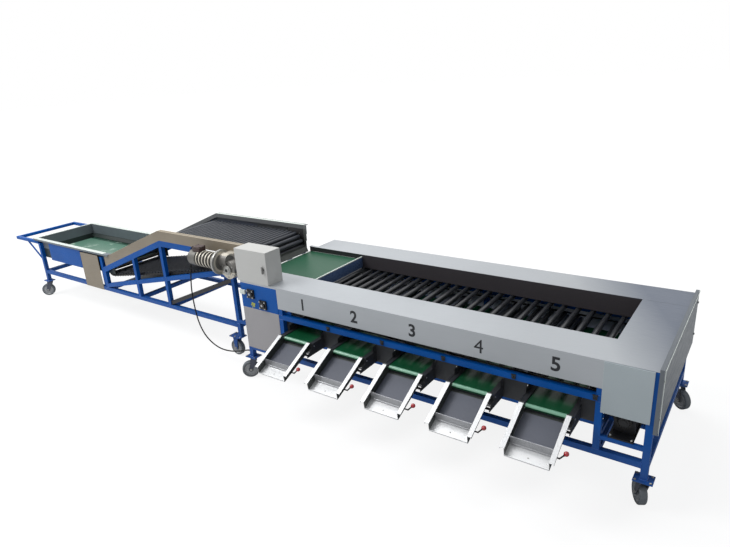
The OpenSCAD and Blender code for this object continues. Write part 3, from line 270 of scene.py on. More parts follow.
tone_group, source, sink = new_group(
    "slow_tone", [("Vector", VECTOR, None), ("Scale", FLOAT, 2.0), ("Amount", FLOAT, 0.2)], ["Factor"])
noise = add(tone_group, "ShaderNodeTexNoise")
fill(noise, Detail=3)
spread = ramp(tone_group, *NOISE_SPAN)
scaled = add(tone_group, "ShaderNodeMath", operation="MULTIPLY")
link(tone_group, [
    (source.outputs["Vector"], noise.inputs["Vector"]),
    (source.outputs["Scale"], noise.inputs["Scale"]),
    (noise.outputs["Fac"], spread.inputs["Value"]),
    (spread.outputs[0], scaled.inputs[0]),
    (source.outputs["Amount"], scaled.inputs[1]),
    (scaled.outputs[0], sink.inputs["Factor"]),
])

grain_group, source, sink = new_group(
    "fine_grain", [("Vector", VECTOR, None), ("Stretch", VECTOR, (1, 1, 1)), ("Scale", FLOAT, 300.0)],
    ["Height"])
pull = add(grain_group, "ShaderNodeVectorMath", operation="MULTIPLY")
noise = add(grain_group, "ShaderNodeTexNoise")
fill(noise, Detail=2)
link(grain_group, [
    (source.outputs["Vector"], pull.inputs[0]),
    (source.outputs["Stretch"], pull.inputs[1]),
    (pull.outputs[0], noise.inputs["Vector"]),
    (source.outputs["Scale"], noise.inputs["Scale"]),
    (noise.outputs["Fac"], sink.inputs["Height"]),
])

wear_group, source, sink = new_group(
    "wear_patches", [("Vector", VECTOR, None), ("Scale", FLOAT, 14.0), ("Amount", FLOAT, 0.2)], ["Mask"])
noise = add(wear_group, "ShaderNodeTexNoise")
fill(noise, Detail=8, Roughness=0.65)
WEAR_START, WEAR_GAIN = 0.78, 14
edge = add(wear_group, "ShaderNodeMath", operation="SUBTRACT", use_clamp=True)
edge.inputs[0].default_value = WEAR_START
cut = add(wear_group, "ShaderNodeMath", operation="SUBTRACT")
gain = add(wear_group, "ShaderNodeMath", operation="MULTIPLY", use_clamp=True)
gain.inputs[1].default_value = WEAR_GAIN
link(wear_group, [
    (source.outputs["Vector"], noise.inputs["Vector"]),
    (source.outputs["Scale"], noise.inputs["Scale"]),
    (source.outputs["Amount"], edge.inputs[1]),
    (noise.outputs["Fac"], cut.inputs[0]),
    (edge.outputs[0], cut.inputs[1]),
    (cut.outputs[0], gain.inputs[0]),
    (gain.outputs[0], sink.inputs["Mask"]),
])

dust_group, source, sink = new_group(
    "floor_dust", [("Vector", VECTOR, None), ("Height", FLOAT, 0.5), ("Amount", FLOAT, 0.3)], ["Mask"])
parts = add(dust_group, "ShaderNodeSeparateXYZ")
fade = ramp(dust_group, 0, 1, 1, 0)
noise = add(dust_group, "ShaderNodeTexNoise")
fill(noise, Scale=9, Detail=5)
both = add(dust_group, "ShaderNodeMath", operation="MULTIPLY")
final = add(dust_group, "ShaderNodeMath", operation="MULTIPLY", use_clamp=True)
link(dust_group, [
    (source.outputs["Vector"], parts.inputs[0]),
    (source.outputs["Vector"], noise.inputs["Vector"]),
    (parts.outputs["Z"], fade.inputs["Value"]),
    (source.outputs["Height"], fade.inputs["From Max"]),
    (fade.outputs[0], both.inputs[0]),
    (noise.outputs["Fac"], both.inputs[1]),
    (both.outputs[0], final.inputs[0]),
    (source.outputs["Amount"], final.inputs[1]),
    (final.outputs[0], sink.inputs["Mask"]),
])
print("groups:", ", ".join(g.name for g in bpy.data.node_groups))

# %% [markdown]
# One function builds a material from those groups. A finish has its colour, roughness and metal, how dark its
# tone gets and how it drifts, as (scale, amount), its grain, as (scale, stretch, bump strength), its wear, as
# (scale, amount, colour), and its dust. Colours are written as the sRGB values that a picture editor shows,
# and turned into linear ones.

# %% a finish from the groups
def linear(colour):
    return [v / 255 / 12.92 if v < 11 else ((v / 255 + 0.055) / 1.055) ** 2.4 for v in colour] + [1]


def use(tree, group, vector, **values):
    made = add(tree, "ShaderNodeGroup", node_tree=group)
    tree.links.new(vector, made.inputs["Vector"])
    fill(made, **values)
    return made.outputs[0]


def mixed(tree, mask, first, second):
    made = add(tree, "ShaderNodeMix", data_type="RGBA")
    tree.links.new(mask, made.inputs[0])
    for socket, value in ((made.inputs[6], first), (made.inputs[7], second)):
        if isinstance(value, list):
            socket.default_value = value
        else:
            tree.links.new(value, socket)
    return made.outputs[2]


DUST_TOP, DUST_COLOUR = 0.5, (150, 142, 128)
BUMP_DEPTH = 0.0015


def finish(name, colour, rough, metal, dark, drift, grain, wear=None, dust=0.0, coat=0.0, zone=None,
           shine=0.5):
    """zone is (how, limit, width, colour): the second colour lies where the measure is over the limit."""
    paint = bpy.data.materials.new(name)
    tree = tree_of(paint)
    where = add(tree, "ShaderNodeTexCoord").outputs["Object"]
    tone = use(tree, tone_group, where, Scale=drift[0], Amount=drift[1])
    shown = mixed(tree, tone, linear(colour), [v * dark for v in linear(colour)[:3]] + [1])
    if zone:
        how, limit, width, other = zone
        over = ramp(tree, limit - width / 2, limit + width / 2)
        tree.links.new(how(tree, where), over.inputs["Value"])
        second = mixed(tree, tone, linear(other), [v * dark for v in linear(other)[:3]] + [1])
        shown = mixed(tree, over.outputs[0], shown, second)
    if wear:
        scale, amount, worn = wear
        shown = mixed(tree, use(tree, wear_group, where, Scale=scale, Amount=amount), shown, linear(worn))
    if dust:
        dusty = use(tree, dust_group, where, Height=DUST_TOP, Amount=dust)
        shown = mixed(tree, dusty, shown, linear(DUST_COLOUR))
    height = use(tree, grain_group, where, Scale=grain[0], Stretch=grain[1])
    gloss = ramp(tree, *NOISE_SPAN, max(0.03, rough - 0.1), min(1, rough + 0.1))
    bump = add(tree, "ShaderNodeBump")
    fill(bump, Strength=grain[2], Distance=BUMP_DEPTH)
    shell = add(tree, "ShaderNodeBsdfPrincipled")
    fill(shell, **{"Metallic": metal, "Coat Weight": coat, "Specular IOR Level": shine})
    out = add(tree, "ShaderNodeOutputMaterial")
    link(tree, [
        (height, gloss.inputs["Value"]),
        (height, bump.inputs["Height"]),
        (shown, shell.inputs["Base Color"]),
        (gloss.outputs[0], shell.inputs["Roughness"]),
        (bump.outputs[0], shell.inputs["Normal"]),
        (shell.outputs[0], out.inputs[0]),
    ])
    return paint


# %% [markdown]
# Some finishes have a second colour in one zone. Each function below measures where a place lies, and the
# finish compares that measure with its limit.

# %% measures for zones
def along_axis(index):
    """Place along X, Y or Z."""
    def measure(tree, where):
        parts = add(tree, "ShaderNodeSeparateXYZ")
        tree.links.new(where, parts.inputs[0])
        return parts.outputs[index]
    return measure


def leaning(tree, where):
    """Place along a line in plan that leans from the machine's length to its back."""
    weigh = add(tree, "ShaderNodeVectorMath", operation="DOT_PRODUCT")
    weigh.inputs[1].default_value = (1, 0.5, 0)
    tree.links.new(where, weigh.inputs[0])
    return weigh.outputs["Value"]


def chute_side(tree, where):
    """1 on faces that look sideways, and on all that lies behind the outlet belts' noses."""
    normal = add(tree, "ShaderNodeSeparateXYZ")
    sideways = add(tree, "ShaderNodeMath", operation="ABSOLUTE")
    place = add(tree, "ShaderNodeSeparateXYZ")
    behind = add(tree, "ShaderNodeMath", operation="GREATER_THAN")
    behind.inputs[1].default_value = at(0, -122, 0).y
    either = add(tree, "ShaderNodeMath", operation="MAXIMUM")
    link(tree, [
        (where.node.outputs["Normal"], normal.inputs[0]),
        (normal.outputs["X"], sideways.inputs[0]),
        (where, place.inputs[0]),
        (place.outputs["Y"], behind.inputs[0]),
        (sideways.outputs[0], either.inputs[0]),
        (behind.outputs[0], either.inputs[1]),
    ])
    return either.outputs[0]


def from_line(y, z):
    """Distance from a line that runs along X through y and z."""
    def measure(tree, where):
        shift = add(tree, "ShaderNodeVectorMath", operation="SUBTRACT")
        shift.inputs[1].default_value = (0, y, z)
        flat = add(tree, "ShaderNodeVectorMath", operation="MULTIPLY")
        flat.inputs[1].default_value = (0, 1, 1)
        size = add(tree, "ShaderNodeVectorMath", operation="LENGTH")
        link(tree, [
            (where, shift.inputs[0]),
            (shift.outputs[0], flat.inputs[0]),
            (flat.outputs[0], size.inputs[0]),
        ])
        return size.outputs["Value"]
    return measure


def off_middle(y):
    """Distance from the upright plane at y."""
    def measure(tree, where):
        parts = add(tree, "ShaderNodeSeparateXYZ")
        shift = add(tree, "ShaderNodeMath", operation="SUBTRACT")
        shift.inputs[1].default_value = y
        size = add(tree, "ShaderNodeMath", operation="ABSOLUTE")
        link(tree, [
            (where, parts.inputs[0]),
            (parts.outputs["Y"], shift.inputs[0]),
            (shift.outputs[0], size.inputs[0]),
        ])
        return size.outputs[0]
    return measure


print("finish() and its zones are ready")

# %% [markdown]
# The frame is painted royal blue, glossy where it is new and scuffed at the casters. The covers are stainless
# sheet, brushed along the machine. Plain steel that is only bright at an angle would look black in a
# studio with few lights, so the sheet is partly metallic, with a pale colour under it.

# %% the finishes
bin_middle = at(0, 621, 0).y
lean = at(2820, 0, 0)
motor_line = at(0, MOTOR_Y, MOTOR_Z)
blue = finish("blue_paint", (0, 84, 166), 0.45, 0, 0.72, (2.5, 0.7), (90, (1, 1, 1), 0.06),
              (16, 0.08, (30, 66, 106)), 0.3, shine=0.18)
# The cross plate's lighter blue is a painted reflection of the sky on the frame's blue paint.
blue_painted_reflection = finish("blue_painted_reflection", (84, 108, 150), 0.3, 0.1, 0.8, (6, 0.9), (90, (1, 1, 1), 0.06),
                    (9, 0.14, (60, 84, 130)))
# Right of a line that leans back to the left the covers are darker: painted shade for the end cap, a separate
# sheet brushed across that reflects less light.
steel_top = finish("brushed_cover", (176, 180, 184), 0.42, 0.3, 0.9, (1.6, 0.8), (160, (0.06, 1, 1), 0.1),
                   (7, 0.06, (156, 160, 164)), zone=(leaning, lean.x + 0.5 * lean.y, 0.5, (104, 112, 126)))
steel_bright = finish("bright_sheet", (218, 219, 220), 0.36, 0.3, 0.9, (6, 0.6), (200, (1, 0.08, 1), 0.1),
                      (22, 0.08, (170, 170, 168)), zone=(chute_side, 0.7, 0.2, (62, 66, 64)))
side_sheet = finish("side_sheet", (206, 208, 210), 0.38, 0.3, 0.9, (6, 0.6), (200, (0.08, 1, 1), 0.1),
                    (22, 0.08, (160, 160, 158)), zone=(along_axis(1), at(0, 990, 0).y, 0.01, (52, 52, 54)))
# The end plate is the covers' stainless painted darker: painted shade, because the drive end lies in shade.
# The cover seam takes this dark colour as a dark joint.
end_shade_and_seam_steel = finish("end_painted_shade_and_seam", (104, 110, 116), 0.46, 0.2, 0.86, (1.6, 0.8), (160, (1, 0.06, 1), 0.1),
                   (6, 0.06, (94, 100, 106)))
grey_panel = finish("grey_panel", (158, 156, 158), 0.55, 0.1, 0.9, (3, 0.6), (180, (1, 1, 1), 0.08),
                    (10, 0.06, (136, 134, 134)), 0.2,
                    zone=(along_axis(0), at(1000, 0, 0).x, 0.01, (172, 182, 186)))
liner = finish("charcoal_liner", (52, 48, 52), 0.62, 0, 0.8, (3, 0.6), (140, (1, 1, 1), 0.1),
               (9, 0.05, (72, 68, 70)))
bed_dark = finish("bed_plates", (52, 54, 58), 0.5, 0.2, 0.6, (9, 0.9), (200, (1, 0.1, 1), 0.1),
                  (14, 0.1, (80, 82, 84)), 0.2)
divider_sheet = finish("divider_sheet", (124, 130, 144), 0.45, 0.2, 0.7, (6, 0.9), (200, (1, 0.1, 1), 0.1),
                       (14, 0.12, (84, 90, 104)))
beige = finish("beige_guard", (136, 126, 110), 0.5, 0.05, 0.84, (4, 0.7), (160, (0.08, 1, 1), 0.08),
               (9, 0.08, (114, 104, 90)), zone=(along_axis(1), at(0, 600, 0).y, 0.01, (116, 118, 120)))
box_paint = finish("cabinet_paint", (192, 192, 189), 0.5, 0, 0.95, (4, 0.5), (700, (1, 1, 1), 0.25),
                   (16, 0.04, (176, 174, 168)))
zinc = finish("zinc", (176, 177, 180), 0.34, 0.6, 0.8, (9, 0.7), (240, (1, 1, 1), 0.08),
              (26, 0.1, (128, 126, 122)))
galvanised = finish("galvanised", (32, 44, 42), 0.5, 0.1, 0.8, (6, 0.8), (60, (1, 1, 1), 0.06),
                    (12, 0.12, (72, 76, 80)), zone=(along_axis(2), 0.616, 0.002, (108, 116, 122)))
fork_steel = finish("caster_steel", (36, 54, 84), 0.4, 0.3, 0.7, (14, 0.8), (200, (1, 1, 1), 0.1),
                    (24, 0.16, (88, 92, 98)), 0.5)
chain_steel = finish("oiled_chain", (48, 47, 46), 0.4, 0.7, 0.7, (20, 0.8), (300, (1, 1, 1), 0.15))
cast_black = finish("black_casting", (26, 27, 30), 0.42, 0.1, 0.7, (12, 0.8), (260, (1, 1, 1), 0.3),
                    (30, 0.12, (70, 70, 72)))
deck_black = finish("deck_black", (30, 30, 33), 0.5, 0.1, 0.7, (6, 0.8), (200, (1, 1, 1), 0.15),
                    (14, 0.1, (56, 56, 58)), zone=(along_axis(0), at(-530, 0, 0).x, 0.002, (84, 86, 84)))
latch_grey = finish("latch_grey", (112, 112, 110), 0.4, 0.3, 0.8, (20, 0.6), (300, (1, 1, 1), 0.1))
silver = finish("silver_casting", (118, 116, 112), 0.42, 0.4, 0.75, (12, 0.8), (260, (1, 1, 1), 0.25),
                (24, 0.1, (84, 82, 78)),
                zone=(from_line(motor_line.y, motor_line.z), 0.0722, 0.0004, (206, 200, 186)))
green = finish("green_belt", (22, 78, 54), 0.42, 0, 0.84, (1.5, 0.9), (400, (1, 1, 1), 0.12),
               (5, 0.14, (58, 108, 86)), shine=0.35)
outlet_green = finish("outlet_belt", (12, 82, 48), 0.34, 0, 0.62, (4, 0.9), (400, (1, 1, 1), 0.1),
                      (8, 0.1, (34, 100, 66)), coat=0.1, shine=0.35)
bin_green = finish("bin_belt", (84, 124, 106), 0.4, 0, 0.8, (3, 0.9), (300, (1, 1, 1), 0.1),
                   (5, 0.2, (150, 174, 160)), coat=0.1,
                   zone=(off_middle(bin_middle), 0.27, 0.01, (22, 62, 48)))
mat_rubber = finish("mat_rubber", (84, 88, 100), 0.55, 0, 0.84, (4, 0.8), (500, (1, 1, 1), 0.2),
                    (9, 0.08, (104, 108, 118)))
roller_black = finish("roller_black", (44, 46, 50), 0.3, 0, 0.75, (3, 0.8), (200, (1, 0.05, 1), 0.08),
                      (12, 0.08, (70, 72, 76)), coat=0.2)
roller_slate = finish("roller_slate", (50, 54, 62), 0.4, 0, 0.75, (2, 0.8), (200, (1, 0.05, 1), 0.08),
                      (14, 0.08, (72, 76, 84)), shine=0.35)
tyre = finish("tyre_rubber", (92, 102, 112), 0.62, 0, 0.8, (16, 0.8), (220, (1, 1, 1), 0.3),
              (24, 0.14, (122, 126, 128)), 0.4)
hub_grey = finish("hub_grey", (156, 160, 164), 0.42, 0.3, 0.8, (20, 0.8), (260, (1, 1, 1), 0.15),
                  (30, 0.14, (110, 108, 104)), 0.3)
black_plastic = finish("black_plastic", (22, 22, 24), 0.4, 0, 0.8, (20, 0.6), (400, (1, 1, 1), 0.15))
ink = finish("number_ink", (18, 20, 26), 0.5, 0, 0.9, (30, 0.6), (500, (1, 1, 1), 0.05))
sheath = finish("cable_sheath", (9, 9, 11), 0.5, 0, 0.8, (20, 0.6), (500, (1, 1, 1), 0.1), shine=0.2)
red = finish("red_knob", (176, 26, 38), 0.24, 0, 0.85, (40, 0.6), (400, (1, 1, 1), 0.04), coat=0.5)
brown_box = finish("terminal_brown", (62, 44, 42), 0.5, 0, 0.8, (20, 0.7), (300, (1, 1, 1), 0.2))
bolt_steel = finish("bolt_steel", (170, 170, 166), 0.34, 0.7, 0.75, (60, 0.8), (500, (1, 1, 1), 0.1))
pale_and_painted_highlight = finish("pale_and_painted_highlight", (214, 222, 216), 0.4, 0.1, 0.9, (6, 0.6), (300, (1, 1, 1), 0.05))
pale_green = finish("belt_nose", (126, 178, 150), 0.34, 0, 0.85, (12, 0.7), (300, (1, 1, 1), 0.08), coat=0.2)
weld = finish("weld_blue", (30, 88, 172), 0.4, 0, 0.75, (50, 0.8), (500, (1, 1, 1), 0.2), coat=0.2)
cream_painted_highlight = finish("guard_top_painted_highlight", (206, 192, 166), 0.4, 0.2, 0.9, (5, 0.6), (200, (1, 1, 1), 0.05))
grease = finish("old_grease", (176, 178, 60), 0.5, 0, 0.8, (40, 0.9), (300, (1, 1, 1), 0.4))
cable.data.materials.append(sheath)
print(len(bpy.data.materials), "materials")

# %% [markdown]
# The frame's own pieces keep their shapes and only get a finish, by a table from material to nodes. Three
# nodes aren't in it, because new pieces stand for them: the cable, the push handle and the elevator's bed.

# %% dress the frame's own pieces
DRESS = {
    blue: ["grader_frame_front", "grader_frame_back", "feed_frame_near", "feed_frame_far"],
    steel_top: ["front_cover", "back_cover"],
    steel_bright: ["outlet_chutes"],
    side_sheet: ["infeed_frame"],
    end_shade_and_seam_steel: ["end_plate"],
    grey_panel: ["side_panels"],
    liner: ["well_liner"],
    bed_dark: ["outlet_beds"],
    beige: ["elevator_guards"],
    box_paint: ["control_box", "control_door"],
    zinc: ["infeed_drive_roller", "jackshaft", "outlet_nose_rollers", "outlet_drive_shaft",
           "bin_drive_roller", "bin_tail_roller"],
    galvanised: ["feed_bin"],
    chain_steel: ["roller_chains", "grader_head_shaft", "grader_tail_shaft", "elevator_head_shaft",
                  "elevator_tail_shaft"],
    cast_black: ["main_gearmotor", "flange_bearings"],
    latch_grey: ["door_latch"],
    silver: ["feed_gearmotor"],
    green: ["infeed_belt"],
    outlet_green: ["outlet_belts"],
    bin_green: ["bin_belt"],
    mat_rubber: ["chute_mats"],
    roller_black: ["grading_rollers"],
    roller_slate: ["elevator_rollers"],
    black_plastic: ["cable_glands"],
}
for material, names in DRESS.items():
    for name in names:
        nodes[name].material_slots[0].material = material
for word, material in (("gate_", zinc), ("_fork_", fork_steel), ("_wheel_", tyre)):
    for name, node in nodes.items():
        if word in name:
            node.material_slots[0].material = material
print("every node has its finish")

# %% [markdown]
# New pieces start from bmesh's own shapes: a box, a rod between two points, a ball, a bolt, a prism, a spun
# profile and an arc. Boxes and rods can have a small bevel, because a sharp edge catches no light. One
# function turns a bmesh into a finished piece that rides on a body and takes its finish.

# %% helpers for new pieces
def soften(bm, edges, width):
    bmesh.ops.bevel(bm, geom=edges, offset=width / 1000, offset_type="OFFSET", segments=2, profile=0.5,
                    affect="EDGES", material=-1)


def facing(place, way):
    """The matrix that stands on place and turns Z along way."""
    return Matrix.Translation(place) @ way.to_track_quat("Z", "Y").to_matrix().to_4x4()


def box(bm, low, high, bevel=0.0):
    low, high = at(*low), at(*high)
    space = Matrix.Translation((low + high) / 2) @ Matrix.Diagonal([*(high - low), 1])
    made = bmesh.ops.create_cube(bm, size=1, matrix=space)
    if bevel:
        soften(bm, list({e for v in made["verts"] for e in v.link_edges}), bevel)


def rod(bm, start, end, r, end_r=None, segments=20, bevel=0.0):
    start, end = at(*start), at(*end)
    way = end - start
    made = bmesh.ops.create_cone(
        bm, cap_ends=True, segments=segments, radius1=r / 1000, depth=way.length,
        radius2=(r if end_r is None else end_r) / 1000, matrix=facing((start + end) / 2, way))
    if bevel:
        edges = {e for v in made["verts"] for e in v.link_edges}
        soften(bm, [e for e in edges if sum(len(f.verts) == segments for f in e.link_faces) == 1], bevel)


def ball(bm, place, r, segments, rings, flat=(1, 1, 1)):
    bmesh.ops.create_uvsphere(bm, u_segments=segments, v_segments=rings, radius=r / 1000,
                              matrix=Matrix.Translation(at(*place)) @ Matrix.Diagonal((*flat, 1)))


def bolt(bm, place, axis, r=7.0, rise=5.0):
    """A washer and a hexagon head that stand on place and point along axis."""
    place, axis = Vector(place), Vector(axis)
    rod(bm, place, place + axis * 1.6, r * 1.25, segments=20)
    rod(bm, place + axis * 1.6, place + axis * (1.6 + rise * 0.8), r, segments=6)
    rod(bm, place + axis * (1.6 + rise * 0.8), place + axis * (1.6 + rise), r, r * 0.8, segments=6)


def verts_of(made):
    return [v for v in made["geom"] if isinstance(v, bmesh.types.BMVert)]


def prism(bm, outline, y0, y1):
    """An outline in X and Z, drawn out along Y."""
    face = bm.faces.new([bm.verts.new(at(x, y0, z)) for x, z in outline])
    out = bmesh.ops.extrude_face_region(bm, geom=[face])
    bmesh.ops.translate(bm, verts=verts_of(out), vec=(0, (y1 - y0) / 1000, 0))


def spun(bm, profile, steps):
    """A profile of radius and height, spun once round Z."""
    points = [bm.verts.new((r / 1000, 0, h / 1000)) for r, h in profile]
    edges = [bm.edges.new(pair) for pair in zip(points, points[1:])]
    bmesh.ops.spin(bm, geom=points + edges, cent=(0, 0, 0), axis=(0, 0, 1), angle=2 * math.pi, steps=steps,
                   use_merge=True)


def placed(bm, matrix):
    """Closes the seams of spun profiles and moves all of them to their place."""
    bmesh.ops.remove_doubles(bm, verts=bm.verts, dist=1e-6)
    bmesh.ops.transform(bm, verts=bm.verts, matrix=matrix)


def quarter(place, axis):
    """The matrix that stands on place, a quarter turn round an axis."""
    return Matrix.Translation(at(*place)) @ Matrix.Rotation(math.radians(90), 4, axis)


def arc(bm, ends, middle, axis, degrees, steps):
    """The line between two places, spun round an axis through middle."""
    start = [bm.verts.new(at(*end)) for end in ends]
    edge = [bm.edges.new(start)]
    angle = math.radians(degrees)
    bmesh.ops.spin(bm, geom=start + edge, cent=at(*middle), axis=axis, angle=angle, steps=steps)


def piece(name, bm, material, body="root"):
    bmesh.ops.recalc_face_normals(bm, faces=bm.faces)
    mesh = bpy.data.meshes.new(name)
    bm.to_mesh(mesh)
    bm.free()
    mesh.shade_smooth()
    mesh.set_sharp_from_angle(angle=math.radians(35))
    mesh.materials.append(material)
    made = bpy.data.objects.new(name, mesh)
    scene.collection.objects.link(made)
    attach(made, body)
    print(name, len(mesh.polygons), "faces, on", body)
    return made


def boxes(name, parts, material, body="root"):
    """A piece of boxes, each given by its low and high corner and, if it has one, its bevel."""
    bm = bmesh.new()
    for part in parts:
        box(bm, *part)
    piece(name, bm, material, body)


# %% [markdown]
# The outlets are numbered 1 to 5 on the skirt, in a plain black face. Text is the quickest way to a clean
# digit: it becomes a mesh, is scaled to the measured height and stands on the skirt. Each digit has its own
# weight, so that its strokes are as bold as in the photograph.

# %% outlet numbers
DIGIT_HEIGHT = 0.095
DIGIT_X, DIGIT_STEP, DIGIT_Z = 269, 490.5, 807
for i, weight in enumerate((0.017, 0.026, 0.026, 0, 0.024)):
    text = bpy.data.curves.new("digit", "FONT")
    text.body = str(i + 1)
    text.align_x = "CENTER"
    text.extrude = 0.002
    text.offset = weight
    holder = bpy.data.objects.new("digit", text)
    scene.collection.objects.link(holder)
    bpy.context.view_layer.update()
    mesh = bpy.data.meshes.new_from_object(holder.evaluated_get(bpy.context.evaluated_depsgraph_get()))
    bpy.data.objects.remove(holder)
    ys = [v.co.y for v in mesh.vertices]
    xs = [v.co.x for v in mesh.vertices]
    tall = DIGIT_HEIGHT / (max(ys) - min(ys))
    mesh.transform(Matrix.Translation((-(max(xs) + min(xs)) / 2, -(max(ys) + min(ys)) / 2, 0)))
    mesh.transform(Matrix.Diagonal((tall, tall, 0.1, 1)))
    mesh.transform(Matrix.Rotation(math.radians(90), 4, "X"))
    mesh.transform(Matrix.Translation(at(DIGIT_X + DIGIT_STEP * i, -0.3, DIGIT_Z)))
    mesh.materials.clear()
    mesh.materials.append(ink)
    digit = bpy.data.objects.new(f"outlet_number_{i + 1}", mesh)
    scene.collection.objects.link(digit)
    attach(digit, "root")
    print(digit.name, "width", round((max(xs) - min(xs)) * tall, 3))

# %% [markdown]
# Each gate is worked by a bent black lever with a red ball. The frame's gate is one piece, so the black
# finish is a sleeve over the lever, with a collar at the ball, and the ball gets a glossy shell.

# %% gate levers and knobs
KNOB, KNOB_R = Vector((193, -311, 444)), 15
ELBOW, SLEEVE_R = Vector((161, -324, 410)), 4.6
for i, x in enumerate(OUTLETS):
    body = f"gate_{i + 1}"
    end, elbow = Vector((x, 0, 0)) + KNOB, Vector((x, 0, 0)) + ELBOW
    bm = bmesh.new()
    rod(bm, (x + 132, elbow.y, elbow.z), elbow, SLEEVE_R, bevel=0.6)
    rod(bm, elbow, end, SLEEVE_R)
    way = (end - elbow).normalized()
    ball(bm, elbow, SLEEVE_R + 0.3, 16, 10)
    rod(bm, end - way * 20, end - way * 10, 5.2, 8, segments=24)
    piece(f"lever_sleeve_{i + 1}", bm, black_plastic, body)
    bm = bmesh.new()
    ball(bm, end, KNOB_R, 32, 20)
    rod(bm, end + way * 14, end + way * 15.7, 5, 3.6, segments=24)
    piece(f"lever_knob_{i + 1}", bm, red, body)

# %% [markdown]
# A caster wheel has a rubber tyre on a pressed disc. The disc is a profile spun round the axle, in the two
# hollows that the frame's wheel leaves, with a bearing cap in its middle. The axle's nuts sit on the fork.
# A swivel caster stands turned by some degrees, with its axle beside its pin.

# %% wheel discs and axle nuts
WHEEL_R, FORK_HALF, PIN_TO_AXLE = 75, 28, 36
SWIVEL = [
    ("grader", 1, (-385, 22), 225), ("grader", 2, (2763, 22), 120),
    ("grader", 3, (-385, 1262), 60), ("grader", 4, (2763, 1262), 318),
    ("feed", 1, (-4219, 245), 225), ("feed", 2, (-4219, 997), 135),
]
FIXED = [("fixed", 1, (-833, 245), 0), ("fixed", 2, (-833, 997), 0)]
PROFILE = [(8, 21.4), (17, 21.4), (19, 20.8), (21, 15.5), (26, 14.4), (36, 16.2), (46, 16.2), (51, 14.4),
           (54, 17.4), (57, 20.2)]
for kind, i, (x, y), degrees in SWIVEL + FIXED:
    reach, fork = (0, "root") if kind == "fixed" else (PIN_TO_AXLE, f"{kind}_caster_fork_{i}")
    a = math.radians(degrees)
    middle = Vector((x + reach * math.cos(a), y + reach * math.sin(a), WHEEL_R))
    axis = Vector((-math.sin(a), math.cos(a), 0))
    bm = bmesh.new()
    for side in (-1, 1):
        spun(bm, [(r, side * h) for r, h in PROFILE], 40)
    placed(bm, facing(at(*middle), axis))
    piece(f"{kind}_caster_disc_{i}", bm, hub_grey, f"{kind}_caster_wheel_{i}")
    bm = bmesh.new()
    for side in (-1, 1):
        bolt(bm, middle + axis * side * FORK_HALF, axis * side, 8.5, 6)
    piece(f"{kind}_caster_nuts_{i}", bm, bolt_steel, fork)

# %% [markdown]
# Each caster is bolted to its foot plate with four bolts, heads up, and the fixed ones with six. The flange
# bearings, the end plate and both motors are bolted too. A bolt is a washer with a chamfered hexagon.

# %% bolts
FOOT_TOP = 198
bm = bmesh.new()
for _, _, (x, y), _ in SWIVEL:
    for u in (-42, 42):
        for v in (-33, 33):
            bolt(bm, (x + u, y + v, FOOT_TOP), (0, 0, 1), 6.5, 5)
for y in (245, 997):
    for x in (-875, -819, -755):
        for v in (-34, 34):
            bolt(bm, (x, y + v, FOOT_TOP), (0, 0, 1), 6.5, 5)
for x, z in ((-291, 800), (-161, 724)):
    for u in (-28, 28):
        for v in (-28, 28):
            bolt(bm, (x + u, -16, z + v), (0, -1, 0), 6, 4)
for y in (22, 1262):
    for z in (600, 840):
        bolt(bm, (2810, y, z), (1, 0, 0), 6.5, 1.6)
for k in range(8):
    a = math.radians(22.5 + 45 * k)
    if abs(math.sin(a)) < 0.95:
        bolt(bm, (-752, MOTOR_Y + 97 * math.cos(a), MOTOR_Z + 97 * math.sin(a)), (-1, 0, 0), 6, 4)
for k in range(6):
    a = math.radians(30 + 60 * k)
    bolt(bm, (HEAD_X + 66 * math.cos(a), 88, HEAD_Z + 66 * math.sin(a)), (0, -1, 0), 6, 4)
for x in (2562, 2678):
    for y in (24, 240):
        bolt(bm, (x, y, 418), (0, 0, 1), 6, 5)
piece("bolts", bm, bolt_steel)

# %% [markdown]
# The square tubes are welded where they meet. A weld bead is a low ridge with ripples: a six-sided ring is
# extruded step by step along the joint, and every second ring is a little smaller.

# %% weld beads
WAIST = 0.72
BRACE_SLOPE = 0.231
BIN_POST_X, GRIP_LOW, GRIP_HIGH = -4239, 672, 708


def bead(bm, start, end, r=2.6, pitch=7.0):
    start, end = at(*start), at(*end)
    way = end - start
    steps = max(3, int(way.length * 1000 / pitch))
    ring = bmesh.ops.create_circle(bm, cap_ends=True, segments=6, radius=r / 1000, matrix=facing(start, way))
    face = ring["verts"][0].link_faces[0]
    for k in range(steps):
        out = bmesh.ops.extrude_face_region(bm, geom=[face])
        tips = verts_of(out)
        face = [f for f in out["geom"] if isinstance(f, bmesh.types.BMFace)][0]
        bmesh.ops.translate(bm, verts=tips, vec=way / steps)
        middle = sum((v.co for v in tips), Vector()) / len(tips)
        grow = WAIST if k % 2 == 0 else 1 / WAIST
        bmesh.ops.scale(bm, verts=tips, vec=(grow,) * 3, space=Matrix.Translation(-middle))


def post_welds(bm, x, y, z):
    """Beads on the four sides of an upright tube that stands on or under a rail at height z."""
    right_x, back_y = x + TUBE, y + TUBE
    for a, b in (((x, y), (right_x, y)), ((x, back_y), (right_x, back_y)), ((x, y), (x, back_y)),
                 ((right_x, y), (right_x, back_y))):
        bead(bm, (*a, z), (*b, z))


